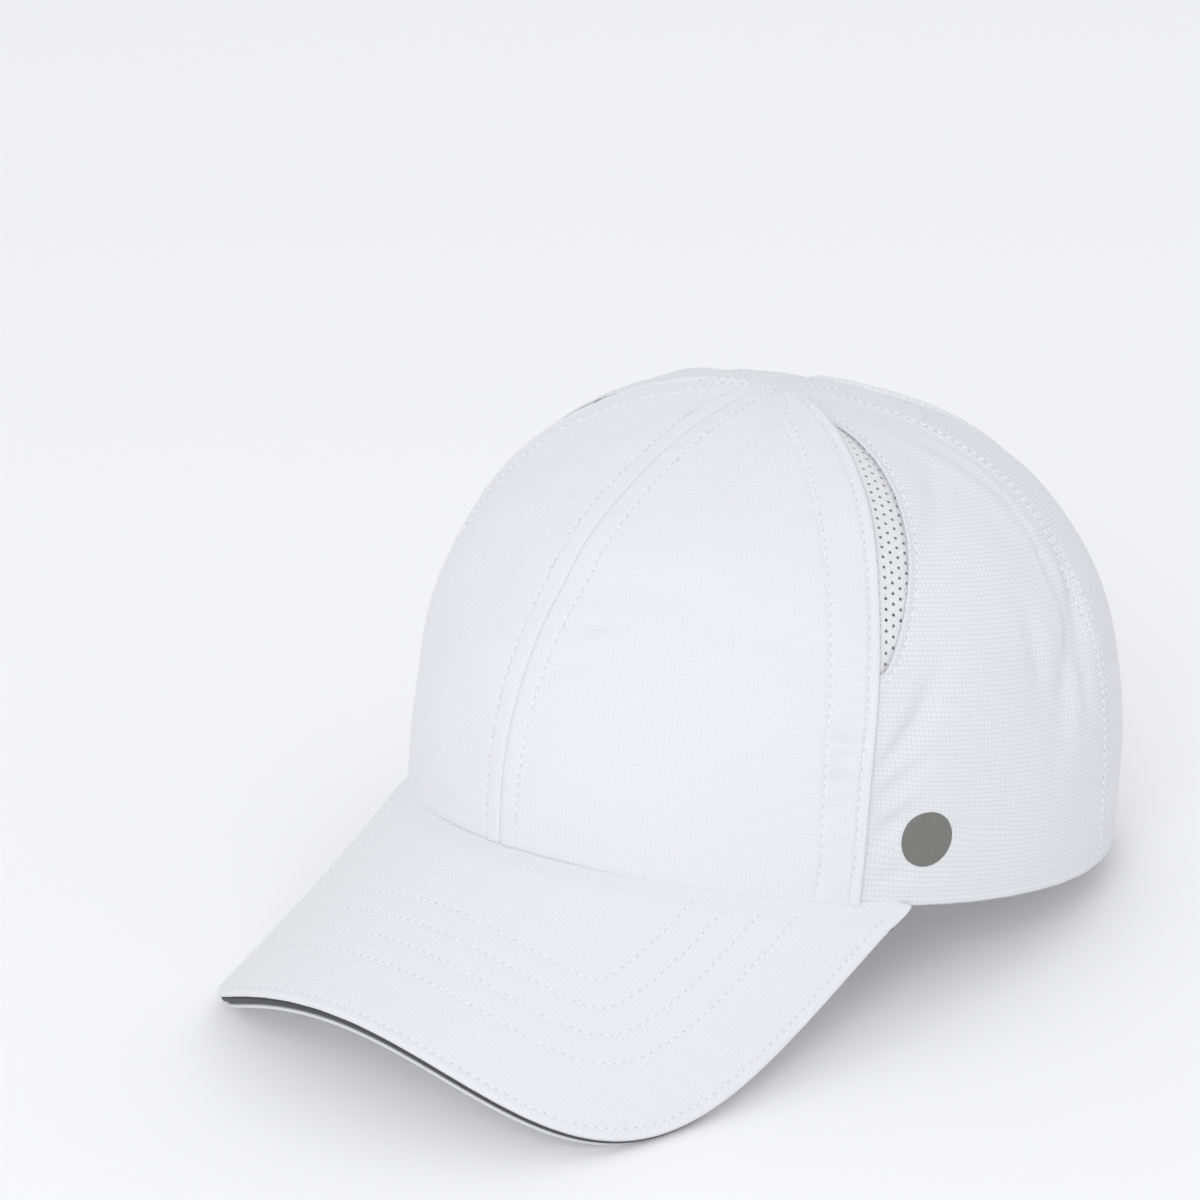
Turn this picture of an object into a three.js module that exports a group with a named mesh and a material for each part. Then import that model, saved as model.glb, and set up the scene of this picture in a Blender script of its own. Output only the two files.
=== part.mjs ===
// A six-panel ponytail baseball cap in light woven cloth, as it rests on a flat surface.
// Millimetres, +Z up. The brim points to -Y and the wearer's left is +X.
// The crown and brim are worked out in the cap's own frame, where the rim is level at the back.
// Each finished point is then turned so that the brim's corners and the back rim touch z = 0.
import * as THREE from 'three';
import { mergeVertices } from 'three/addons/utils/BufferGeometryUtils.js';

// Crown, seen from above and from the side
const CROWN_HALF_WIDTH = 85.7;
const CROWN_FRONT_REACH = 110.1;
const CROWN_BACK_REACH = 83.6;
const CROWN_HEIGHT = 109.5;
const SIDE_WIDEST_HEIGHT = 19.3;
const TOP_LEAN = 6.5;
const TOP_POINT_SHIFT = 12.9;
const FRONT_RIM_LIFT = 8.5;
const PLAN_POWER = 1.91;
const HEIGHT_POWER = 0.79;
const FRONT_FULLNESS = 1.17;
const SIDE_FULLNESS = 0.77;
const BACK_FULLNESS = 0.93;

// Cloth walls and the space between pieces
const CLOTH_WALL = 1.2;
const GAP = 0.3;
const FRONT_STEP = 0.6;

// Seams, as angles round the crown from the front, at the rim and at the top
const FRONT_SEAM_AT_RIM = 55.4;
const FRONT_SEAM_AT_TOP = 61.7;
const BACK_SEAM_AT_RIM = 107.2;
const BACK_SEAM_AT_TOP = 93.5;
const TOP_MEETING = 0.995;

// Mesh vent beside each front seam. Bottom and top are shares of the way up the panel.
const VENT_BOTTOM = 0.27;
const VENT_TOP = 0.84;
const VENT_WIDTH = 8.0;
const VENT_WALL = 1.0;
const VENT_BIAS = 0.8;
const VENT_ROUNDNESS = 0.8;
const VENT_TIP_MARGIN = 0.013;

// Teardrop opening for a ponytail. Bottom and top are shares of the way up the back.
const OPENING_HALF_WIDTH = 28;
const OPENING_BOTTOM = 0.23;
const OPENING_TOP = 0.818;
const OPENING_BIAS = 0.92;
const OPENING_LOW_ROUNDNESS = 0.9;
const OPENING_HIGH_ROUNDNESS = 0.5;
const BINDING_WIDTH = 6.0;
const BINDING_WALL = 1.0;
const BINDING_CLEARANCE = 0.5;

// Closure: the right back panel ends in a tab that lies over the left one
const TAB_REACH = 35;
const TAIL_REACH = 18;
const TAB_TOP = 0.085;
const TAB_EDGE_POWER = 1.5;
const PAD_WALL = 2.6;
const PAD_CLEARANCE = 0.4;
const PAD_LENGTH = 44;
const PAD_HEIGHT = 11.5;
const PAD_ABOVE_RIM = 2.5;
const PAD_FROM_TAB_END = 5;
const LABEL_LENGTH = 10;
const LABEL_HEIGHT = 14;
const LABEL_ABOVE_RIM = 2.5;
const LABEL_WALL = 1.0;
const OVERLAP_START = 66;
const OVERLAP_RUN = 40;
const OVERLAP_TOP = 0.27;
const OVERLAP_FADE = 0.3;

// Inside
const SWEATBAND_HEIGHT = 30;
const SWEATBAND_WALL = 1.4;
const SWEATBAND_CLEARANCE = 0.5;
const SWEATBAND_BACK_GAP = 42;
const TAPE_WIDTH = 9.5;
const TAPE_WALL = 1.0;
const TAPE_TOP = 0.93;

// Round badge on the wearer's left
const BADGE_DIAMETER = 14;
const BADGE_WALL = 0.8;
const BADGE_ANGLE = 65;
const BADGE_HEIGHT = 18.3;

// Brim
const BRIM_END_ANGLE = 63.8;
const BRIM_REACH = 53.5;
const BRIM_HALF_WIDTH = 78.8;
const BRIM_END_WIDTH = 2.1;
const BRIM_SIDE_PINCH = 12;
const BRIM_SIDE_POWER = 2.33;
const BRIM_FRONT_POWER = 4.06;
const BRIM_SLOPE = 0.645;
const BRIM_TIP_RISE = 3.0626;
const BRIM_ARCH_DROP = 58.1;
const BRIM_ARCH_HALF_SPAN = 83.6;
const BRIM_ARCH_POWER = 2.127;
const BRIM_TOP_ABOVE_RIM = 1.2;
const BRIM_SEAT_LENGTH = 8;
const BRIM_UPPER_WALL = 1.6;
const BRIM_TRIM_WALL = 1.0;
const BRIM_TRIM_CLEARANCE = 0.4;
const BRIM_LOWER_WALL = 1.2;
const BRIM_TRIM_WIDTH = 9;
const BRIM_CLOSING_START = 14;
const BRIM_CLOSING_RUN = 14;
const BRIM_TRIM_PROUD = 0.8;

// Where the cap rests: how much cloth is pressed flat, and the part of the back rim that can touch
const RESTING_FLAT = 1.0;
const BACK_REST_START = 150;
const BACK_REST_RUN = 60;
const BRIM_REST_SAMPLES = 60;
const BACK_REST_SAMPLES = 20;

// Soft hollows in the cloth. Angle in degrees, the rest as shares of the panel's height
// and of the crown's half width: where, how long, how steep, how broad, how deep.
const HOLLOWS = [
  { angle: 27, height: 0.23, run: 22, rise: -0.115, breadth: 0.075, depth: 0.021 },
  { angle: -30, height: 0.2, run: 20, rise: 0.1, breadth: 0.08, depth: 0.014 },
  { angle: 92, height: 0.3, run: 12, rise: 0.12, breadth: 0.06, depth: 0.009 },
  { angle: -95, height: 0.26, run: 12, rise: -0.1, breadth: 0.06, depth: 0.009 },
];

// Mesh density
const PANEL_COLUMNS = 9;
const BACK_COLUMNS = 14;
const BINDING_STEPS = 18;
const CROSS_STEPS = 7;
const EDGE_SPACING_POWER = 1.4;
const BAND_COLUMNS = 54;
const BRIM_COLUMNS = 36;
const BRIM_ROWS = 5;
const TRIM_ROWS = 3;
const TRIM_END_COLUMNS = 2;
const FRONT_ROWS = 20;
const VENT_ROWS = 11;
const VENT_COLUMNS = 2;
const BAND_ROWS = 3;
const TAPE_ROWS = 14;
const PAD_COLUMNS = 6;
const PAD_ROWS = 2;
const LABEL_COLUMNS = 2;
const BADGE_SPOKES = 28;
const BADGE_RINGS = 3;

const DEGREE = Math.PI / 180;
const NUDGE = 1e-4;
const HALVINGS = 40;
const OVER_OFFSET = CLOTH_WALL + PAD_WALL + 2 * PAD_CLEARANCE;

const { clamp, lerp, smoothstep } = THREE.MathUtils;
const smooth = (t) => smoothstep(t, 0, 1);
const signedPower = (value, power) => Math.sign(value) * Math.abs(value) ** power;
const range = (count) => Array.from({ length: count + 1 }, (_, i) => i / count);

// The crown's surface

function sideShares(angle) {
  const along = Math.cos(angle);
  const front = along > 0 ? along * along : 0;
  const back = along < 0 ? along * along : 0;
  return { front, back, side: 1 - front - back };
}

function hollowDepth(angle, height) {
  let depth = 0;
  for (const hollow of HOLLOWS) {
    const along = (angle / DEGREE - hollow.angle) / hollow.run;
    const across = (height - hollow.height - hollow.rise * along) / hollow.breadth;
    depth += hollow.depth * CROWN_HALF_WIDTH * Math.exp(-along * along - across * across);
  }
  return depth;
}

function crownSkin(angle, height) {
  const share = sideShares(angle);
  const fullness = share.front * FRONT_FULLNESS + share.side * SIDE_FULLNESS + share.back * BACK_FULLNESS;
  const widest = share.side * SIDE_WIDEST_HEIGHT;
  const dome = CROWN_HEIGHT - widest;
  const start = -Math.asin((widest / dome) ** (1 / HEIGHT_POWER));
  const climb = start + (Math.PI / 2 - start) * height;
  const shrink = Math.abs(Math.cos(climb)) ** fullness;
  const z = widest + dome * signedPower(Math.sin(climb), HEIGHT_POWER);
  const sine = Math.sin(angle);
  const cosine = Math.cos(angle);
  const plan = (Math.abs(sine) ** PLAN_POWER + Math.abs(cosine) ** PLAN_POWER) ** (-1 / PLAN_POWER);
  const reach = cosine > 0 ? CROWN_FRONT_REACH : CROWN_BACK_REACH;
  const inset = 1 - hollowDepth(angle, height) / CROWN_HALF_WIDTH;
  const x = CROWN_HALF_WIDTH * shrink * sine * plan * inset;
  const y = -reach * shrink * cosine * plan * inset
    - TOP_LEAN * z / CROWN_HEIGHT - TOP_POINT_SHIFT * (1 - shrink) ** 2;
  return new THREE.Vector3(x, y, z + FRONT_RIM_LIFT * share.front * (1 - z / CROWN_HEIGHT));
}

function crownFrame(angle, height) {
  const here = crownSkin(angle, height);
  const low = crownSkin(angle, height - NUDGE);
  const high = crownSkin(angle, height + NUDGE);
  const back = crownSkin(angle - NUDGE, height);
  const ahead = crownSkin(angle + NUDGE, height);
  const perAngle = ahead.sub(back).divideScalar(2 * NUDGE);
  const perHeight = high.sub(low).divideScalar(2 * NUDGE);
  const normal = perAngle.clone().cross(perHeight).normalize();
  return { here, perAngle, perHeight, normal };
}

function crownPoint(angle, height, offset) {
  const frame = crownFrame(angle, height);
  return frame.here.addScaledVector(frame.normal, offset);
}

// The angle at which the skin passes a given x, on the back half
function angleAtX(x, height) {
  let near = Math.PI / 2;
  let far = Math.PI * 1.5;
  for (let step = 0; step < HALVINGS; step += 1) {
    const middle = (near + far) / 2;
    if (crownSkin(middle, height).x > x) near = middle;
    else far = middle;
  }
  return (near + far) / 2;
}

// The share of the panel's height at which the skin is a given distance above the rim
function heightAbove(angle, lift) {
  const rim = crownSkin(angle, 0).z;
  let low = 0;
  let high = 1;
  for (let step = 0; step < HALVINGS; step += 1) {
    const middle = (low + high) / 2;
    if (crownSkin(angle, middle).z - rim < lift) low = middle;
    else high = middle;
  }
  return (low + high) / 2;
}

// Moves along the skin from a place on it, by a distance round the crown
function shiftedAngle(angle, height, distance) {
  return angle + distance / crownFrame(angle, height).perAngle.length();
}

// The brim's surface

const rimAngle = (share) => share * BRIM_END_ANGLE * DEGREE;

function brimHeight(x, y) {
  const ahead = -(y + CROWN_FRONT_REACH);
  const arch = BRIM_ARCH_DROP * (Math.abs(x) / BRIM_ARCH_HALF_SPAN) ** BRIM_ARCH_POWER;
  const upturn = BRIM_TIP_RISE * (ahead / BRIM_REACH) ** 2;
  return FRONT_RIM_LIFT - BRIM_SLOPE * ahead + upturn - arch;
}

function brimOuterEdge(share) {
  const end = crownSkin(rimAngle(1), 0);
  const turn = Math.PI / 2 * (1 - (1 - Math.abs(share)) ** 2);
  const forward = Math.cos(turn) ** (2 / BRIM_FRONT_POWER);
  const half = lerp(end.x + BRIM_END_WIDTH, BRIM_HALF_WIDTH, forward);
  const pinch = BRIM_SIDE_PINCH * forward * (1 - forward);
  const x = Math.sign(share) * (half * Math.sin(turn) ** (2 / BRIM_SIDE_POWER) - pinch);
  const y = end.y - (CROWN_FRONT_REACH + BRIM_REACH + end.y) * forward;
  return { x, y };
}

// share runs -1 to 1 across the brim, out runs 0 at the rim to 1 at the outer edge
function brimSkin(share, out) {
  const edge = brimOuterEdge(share);
  const rim = crownPoint(rimAngle(share), 0, CLOTH_WALL / 2 + FRONT_STEP + GAP);
  const x = lerp(rim.x, edge.x, out);
  const y = lerp(rim.y, edge.y, out);
  const seat = (rim.z - brimHeight(rim.x, rim.y)) * Math.max(0, 1 - out) ** 2;
  return new THREE.Vector3(x, y, brimHeight(x, y) + seat + BRIM_TOP_ABOVE_RIM);
}

function brimPoint(share, out, offset) {
  const safe = clamp(share, -1 + 2 * NUDGE, 1 - 2 * NUDGE);
  const across = brimSkin(safe + NUDGE, out).sub(brimSkin(safe - NUDGE, out));
  const outward = brimSkin(safe, out + NUDGE).sub(brimSkin(safe, out - NUDGE));
  const free = outward.cross(across).normalize();
  const wall = crownFrame(rimAngle(share), 0).perHeight.normalize();
  const away = smooth(out * brimLength(share) / BRIM_SEAT_LENGTH);
  return brimSkin(share, out).addScaledVector(wall.lerp(free, away).normalize(), offset);
}

function brimLength(share) {
  return brimSkin(share, 0).distanceTo(brimSkin(share, 1));
}

const BRIM_TRIM_TOP = -BRIM_UPPER_WALL - BRIM_TRIM_CLEARANCE;
const BRIM_LOWER_OPEN = BRIM_TRIM_TOP - BRIM_TRIM_WALL - BRIM_TRIM_CLEARANCE;

// The lower cover lies under the trim at the edge and closes up to the upper cover near the crown
function brimLowerTop(share, out) {
  const fromEdge = (1 - out) * brimLength(share);
  const closing = smooth((fromEdge - BRIM_CLOSING_START) / BRIM_CLOSING_RUN);
  return lerp(BRIM_LOWER_OPEN, BRIM_TRIM_TOP, closing);
}

// Resting: the cap turns about X until the brim's corners and the back rim are level

function turned(point, tilt) {
  const y = point.y * Math.cos(tilt) + point.z * Math.sin(tilt);
  const z = -point.y * Math.sin(tilt) + point.z * Math.cos(tilt);
  return new THREE.Vector3(point.x, y, z);
}

function lowestAt(points, tilt) {
  return Math.min(...points.map((point) => turned(point, tilt).z));
}

const brimRestPoints = range(BRIM_REST_SAMPLES)
  .map((s) => brimPoint(2 * s - 1, 1, BRIM_LOWER_OPEN - BRIM_LOWER_WALL));
const backRestPoints = range(BACK_REST_SAMPLES)
  .map((s) => (BACK_REST_START + BACK_REST_RUN * s) * DEGREE)
  .map((angle) => crownPoint(angle, 0, OVER_OFFSET + CLOTH_WALL / 2));

function findRestTilt() {
  let low = 0;
  let high = Math.PI / 4;
  for (let step = 0; step < HALVINGS; step += 1) {
    const middle = (low + high) / 2;
    if (lowestAt(brimRestPoints, middle) < lowestAt(backRestPoints, middle)) low = middle;
    else high = middle;
  }
  return (low + high) / 2;
}

const REST_TILT = findRestTilt();
const REST_FLOOR = lowestAt([...brimRestPoints, ...backRestPoints], REST_TILT) + RESTING_FLAT;

function rested(point) {
  const placed = turned(point, REST_TILT);
  placed.z = Math.max(0, placed.z - REST_FLOOR);
  return placed;
}

// Meshes

// A closed sheet with a wall. pointAt(i, j, side) gives the inner face for side 0, the outer for 1.
function sheetGeometry(columns, rows, pointAt) {
  const positions = [];
  for (const side of [0, 1]) {
    for (let j = 0; j <= rows; j += 1) {
      for (let i = 0; i <= columns; i += 1) positions.push(...rested(pointAt(i, j, side)).toArray());
    }
  }
  const at = (i, j, side) => side * (columns + 1) * (rows + 1) + j * (columns + 1) + i;
  const faces = [];
  const quad = (a, b, c, d) => faces.push(a, b, c, a, c, d);
  for (let j = 0; j < rows; j += 1) {
    for (let i = 0; i < columns; i += 1) {
      quad(at(i, j, 1), at(i + 1, j, 1), at(i + 1, j + 1, 1), at(i, j + 1, 1));
      quad(at(i, j, 0), at(i, j + 1, 0), at(i + 1, j + 1, 0), at(i + 1, j, 0));
    }
    quad(at(0, j, 0), at(0, j, 1), at(0, j + 1, 1), at(0, j + 1, 0));
    quad(at(columns, j, 1), at(columns, j, 0), at(columns, j + 1, 0), at(columns, j + 1, 1));
  }
  for (let i = 0; i < columns; i += 1) {
    quad(at(i, 0, 0), at(i + 1, 0, 0), at(i + 1, 0, 1), at(i, 0, 1));
    quad(at(i, rows, 1), at(i + 1, rows, 1), at(i + 1, rows, 0), at(i, rows, 0));
  }
  const geometry = new THREE.BufferGeometry();
  geometry.setAttribute('position', new THREE.Float32BufferAttribute(positions, 3));
  geometry.setIndex(faces);
  return geometry;
}

// A cloth patch between two edges, given as functions of the share of height.
// spacing turns an even share across the patch into the one that is used.
function patchGeometry(columns, heights, startAngle, endAngle, inner, outer, spacing = (s) => s) {
  return sheetGeometry(columns, heights.length - 1, (i, j, side) => {
    const height = heights[j];
    const start = startAngle(height);
    const angle = start + (endAngle(height) - start) * spacing(i / columns);
    const offset = side ? outer : inner;
    return crownPoint(angle, height, typeof offset === 'function' ? offset(angle, height) : offset);
  });
}

const cap = new THREE.Group();

function addPiece(name, geometry, material) {
  geometry.computeVertexNormals();
  const mesh = new THREE.Mesh(geometry, material);
  mesh.name = name;
  cap.add(mesh);
  return mesh;
}

const cloth = (colour) => new THREE.MeshStandardMaterial({ color: colour, roughness: 0.9, metalness: 0 });

// Front panels

const frontSeam = (height) => lerp(FRONT_SEAM_AT_RIM, FRONT_SEAM_AT_TOP, height) * DEGREE;
const backSeam = (height) => lerp(BACK_SEAM_AT_RIM, BACK_SEAM_AT_TOP, height) * DEGREE;
const beside = (seam, distance) => (height) => shiftedAngle(seam(height), height, distance);
const halfWall = CLOTH_WALL / 2;

const frontHeights = range(FRONT_ROWS).map((s) => s * TOP_MEETING);
for (const [side, hand] of [['left', 1], ['right', -1]]) {
  const centre = beside(() => 0, hand * GAP / 2);
  const seam = (height) => shiftedAngle(hand * frontSeam(height), height, -hand * GAP / 2);
  const [start, end] = hand > 0 ? [centre, seam] : [seam, centre];
  const geometry = patchGeometry(PANEL_COLUMNS, frontHeights, start, end,
    FRONT_STEP - halfWall, FRONT_STEP + halfWall);
  addPiece(`front_panel_${side}`, geometry, cloth(0xf1f1f3));
}

// Side panels with the mesh vents let into their front edges

const ventHeight = (t) => lerp(VENT_BOTTOM, VENT_TOP, t);

function ventWidth(height) {
  const t = (height - VENT_BOTTOM) / (VENT_TOP - VENT_BOTTOM);
  if (t <= 0 || t >= 1) return 0;
  return VENT_WIDTH * Math.sin(Math.PI * t ** VENT_BIAS) ** VENT_ROUNDNESS;
}

const ventHeights = range(VENT_ROWS).map((s) => {
  const t = (1 - Math.cos(Math.PI * s)) / 2;
  return ventHeight(lerp(VENT_TIP_MARGIN, 1 - VENT_TIP_MARGIN, t));
});
const lowSideHeights = [0, 0.25, 0.5, 0.75, 0.95].map((s) => s * VENT_BOTTOM);
const highSideHeights = [0.15, 0.45, 0.75, 1].map((s) => lerp(VENT_TOP, TOP_MEETING, s));
const sideHeights = [...lowSideHeights, ...ventHeights, ...highSideHeights];

for (const [side, hand] of [['left', 1], ['right', -1]]) {
  const behindSeam = (height, distance) => shiftedAngle(hand * frontSeam(height), height, hand * distance);
  const ventFront = (height) => behindSeam(height, GAP / 2);
  const ventRear = (height) => behindSeam(height, ventWidth(height) - GAP / 2);
  const clothFront = (height) => behindSeam(height, ventWidth(height) + GAP / 2);
  const clothBack = (height) => shiftedAngle(hand * backSeam(height), height, -hand * GAP / 2);
  const [start, end] = hand > 0 ? [clothFront, clothBack] : [clothBack, clothFront];
  const panel = patchGeometry(PANEL_COLUMNS, sideHeights, start, end, -halfWall, halfWall);
  addPiece(`side_panel_${side}`, panel, cloth(0xf1f1f3));
  const [ventStart, ventEnd] = hand > 0 ? [ventFront, ventRear] : [ventRear, ventFront];
  const vent = patchGeometry(VENT_COLUMNS, ventHeights, ventStart, ventEnd, -VENT_WALL / 2, VENT_WALL / 2);
  addPiece(`mesh_vent_${side}`, vent, cloth(0xe6e6e8));
}

// Back panels round the teardrop opening, and the tab that closes over

const openingHeight = (t) => lerp(OPENING_BOTTOM, OPENING_TOP, t);

function openingHalfWidth(height) {
  const t = clamp((height - OPENING_BOTTOM) / (OPENING_TOP - OPENING_BOTTOM), 0, 1);
  const roundness = lerp(OPENING_LOW_ROUNDNESS, OPENING_HIGH_ROUNDNESS, t);
  return OPENING_HALF_WIDTH * Math.max(0, Math.sin(Math.PI * t ** OPENING_BIAS)) ** roundness;
}

// How far a panel's free edge passes the centre line below the opening
function passOver(height, reach) {
  const t = clamp((height - TAB_TOP) / (OPENING_BOTTOM - TAB_TOP), 0, 1);
  return reach * (1 - t ** (1 / TAB_EDGE_POWER));
}

function freeEdgeX(height, hand, reach) {
  if (height < OPENING_BOTTOM) return -hand * passOver(height, reach);
  if (height < OPENING_TOP) return hand * openingHalfWidth(height);
  return hand * GAP / 2;
}

const freeEdgeAngle = (height, hand, reach) => angleAtX(freeEdgeX(height, hand, reach), height);

// The right panel lifts off the skin where it lies over the left one
function overLift(angle, height) {
  const x = crownSkin(angle, height).x;
  const across = smooth((x + OVERLAP_START) / OVERLAP_RUN);
  return OVER_OFFSET * across * (1 - smooth((height - OVERLAP_TOP) / OVERLAP_FADE));
}

const tabHeights = [0, 1 / 3, 2 / 3].map((s) => s * TAB_TOP);
const crossHeights = range(CROSS_STEPS).slice(0, -1).map((s) => lerp(TAB_TOP, OPENING_BOTTOM, s));
const openingShares = range(BINDING_STEPS).map((s) => s * (2 - s));
const openingHeights = openingShares.map(openingHeight);
const crestHeights = [0.25, 0.5, 0.75, 1].map((s) => lerp(OPENING_TOP, TOP_MEETING, s));
const backHeights = [...tabHeights, ...crossHeights, ...openingHeights, ...crestHeights];

// Finer columns near a free edge
const closerToEdge = (s) => s ** EDGE_SPACING_POWER;

addPiece('back_panel_left', patchGeometry(BACK_COLUMNS, backHeights,
  beside(backSeam, GAP / 2), (height) => freeEdgeAngle(height, 1, TAIL_REACH),
  -halfWall, halfWall, (s) => 1 - closerToEdge(1 - s)), cloth(0xf1f1f3));

addPiece('back_panel_right', patchGeometry(BACK_COLUMNS, backHeights,
  (height) => freeEdgeAngle(height, -1, TAB_REACH),
  (height) => shiftedAngle(2 * Math.PI - backSeam(height), height, -GAP / 2),
  (angle, height) => overLift(angle, height) - halfWall,
  (angle, height) => overLift(angle, height) + halfWall, closerToEdge), cloth(0xf1f1f3));

// Binding folded over the free edges, in one length: up the left edge and down the right one

function bindingStops() {
  const rising = [...crossHeights, ...openingHeights].map((height) => ({ height, hand: 1 }));
  const falling = [...openingHeights.slice(0, -1).reverse(), ...crossHeights.slice().reverse()]
    .map((height) => ({ height, hand: -1 }));
  return [...rising, ...falling];
}

function bindingGeometry() {
  const stops = bindingStops().map(({ height, hand }) => {
    const top = height === OPENING_TOP;
    const angle = top ? Math.PI : freeEdgeAngle(height, hand, hand > 0 ? TAIL_REACH : TAB_REACH);
    return { height, hand, angle, top };
  });
  const lift = (stop, angle, height) => (stop.hand > 0 ? 0 : overLift(angle, height));
  const edgePoint = (stop) => crownPoint(stop.angle, stop.height, lift(stop, stop.angle, stop.height));
  const centres = stops.map(edgePoint);
  const inside = CLOTH_WALL / 2 + BINDING_CLEARANCE;
  const outside = inside + BINDING_WALL;
  const fold = [
    { outer: [BINDING_WIDTH, -outside], inner: [BINDING_WIDTH, -inside] },
    { outer: [-BINDING_CLEARANCE - BINDING_WALL, -outside], inner: [-BINDING_CLEARANCE, -inside] },
    { outer: [-BINDING_CLEARANCE - BINDING_WALL, outside], inner: [-BINDING_CLEARANCE, inside] },
    { outer: [BINDING_WIDTH, outside], inner: [BINDING_WIDTH, inside] },
  ];
  return sheetGeometry(stops.length - 1, fold.length - 1, (i, j, side) => {
    const stop = stops[i];
    const frame = crownFrame(stop.angle, stop.height);
    const next = centres[Math.min(i + 1, centres.length - 1)];
    const previous = centres[Math.max(i - 1, 0)];
    const along = next.clone().sub(previous);
    const inward = frame.normal.clone().cross(along).normalize();
    const [distance, offset] = side ? fold[j].outer : fold[j].inner;
    const solve = onSkin(frame, inward, distance);
    const angle = stop.angle + solve.angle;
    const height = stop.height + solve.height;
    return crownPoint(angle, height, offset + lift(stop, angle, height));
  });
}

// The step in angle and height that moves a given distance along a direction in the skin
function onSkin(frame, direction, distance) {
  const aa = frame.perAngle.dot(frame.perAngle);
  const ah = frame.perAngle.dot(frame.perHeight);
  const hh = frame.perHeight.dot(frame.perHeight);
  const da = frame.perAngle.dot(direction) * distance;
  const dh = frame.perHeight.dot(direction) * distance;
  const scale = aa * hh - ah * ah;
  return { angle: (da * hh - dh * ah) / scale, height: (dh * aa - da * ah) / scale };
}

addPiece('opening_binding', bindingGeometry(), cloth(0xf5f5f6));

// Hook-and-loop pad between the tab and the left panel, and the folded label at the tab's end

function backBlock(fromX, toX, above, tall, inner, outer, columns) {
  return sheetGeometry(columns, PAD_ROWS, (i, j, side) => {
    const x = lerp(toX, fromX, i / columns);
    const angle = angleAtX(x, TAB_TOP / 2);
    const height = heightAbove(angle, above + tall * j / PAD_ROWS);
    return crownPoint(angle, height, side ? outer : inner);
  });
}

const padEnd = TAB_REACH - PAD_FROM_TAB_END;
const padInner = CLOTH_WALL / 2 + PAD_CLEARANCE;
addPiece('closure_pad', backBlock(padEnd - PAD_LENGTH, padEnd, PAD_ABOVE_RIM, PAD_HEIGHT,
  padInner, padInner + PAD_WALL, PAD_COLUMNS), cloth(0xe9e9ea));

const labelStart = TAB_REACH + GAP;
const labelInner = OVER_OFFSET - LABEL_WALL / 2;
addPiece('tab_label', backBlock(labelStart, labelStart + LABEL_LENGTH, LABEL_ABOVE_RIM, LABEL_HEIGHT,
  labelInner, labelInner + LABEL_WALL, LABEL_COLUMNS), cloth(0xefe9df));

// Sweatband round the inside of the rim, open at the back under the closure

const bandOuter = -CLOTH_WALL / 2 - SWEATBAND_CLEARANCE;
const bandEnd = Math.PI - Math.asin(SWEATBAND_BACK_GAP / 2 / CROWN_BACK_REACH);
addPiece('sweatband', sheetGeometry(BAND_COLUMNS, BAND_ROWS, (i, j, side) => {
  const angle = lerp(-bandEnd, bandEnd, i / BAND_COLUMNS);
  const height = heightAbove(angle, SWEATBAND_HEIGHT * j / BAND_ROWS);
  return crownPoint(angle, height, side ? bandOuter : bandOuter - SWEATBAND_WALL);
}), cloth(0xe4e4e6));

// Tape over the centre-front seam, inside

const tapeStart = heightAbove(0, SWEATBAND_HEIGHT + GAP);
const tapeHeights = range(TAPE_ROWS).map((s) => lerp(tapeStart, TAPE_TOP, s));
const tapeOuter = FRONT_STEP - halfWall - GAP;
addPiece('front_seam_tape', patchGeometry(2, tapeHeights,
  beside(() => 0, -TAPE_WIDTH / 2), beside(() => 0, TAPE_WIDTH / 2),
  tapeOuter - TAPE_WALL, tapeOuter), cloth(0xeeeeef));

// Round badge, moulded to the side panel

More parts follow.
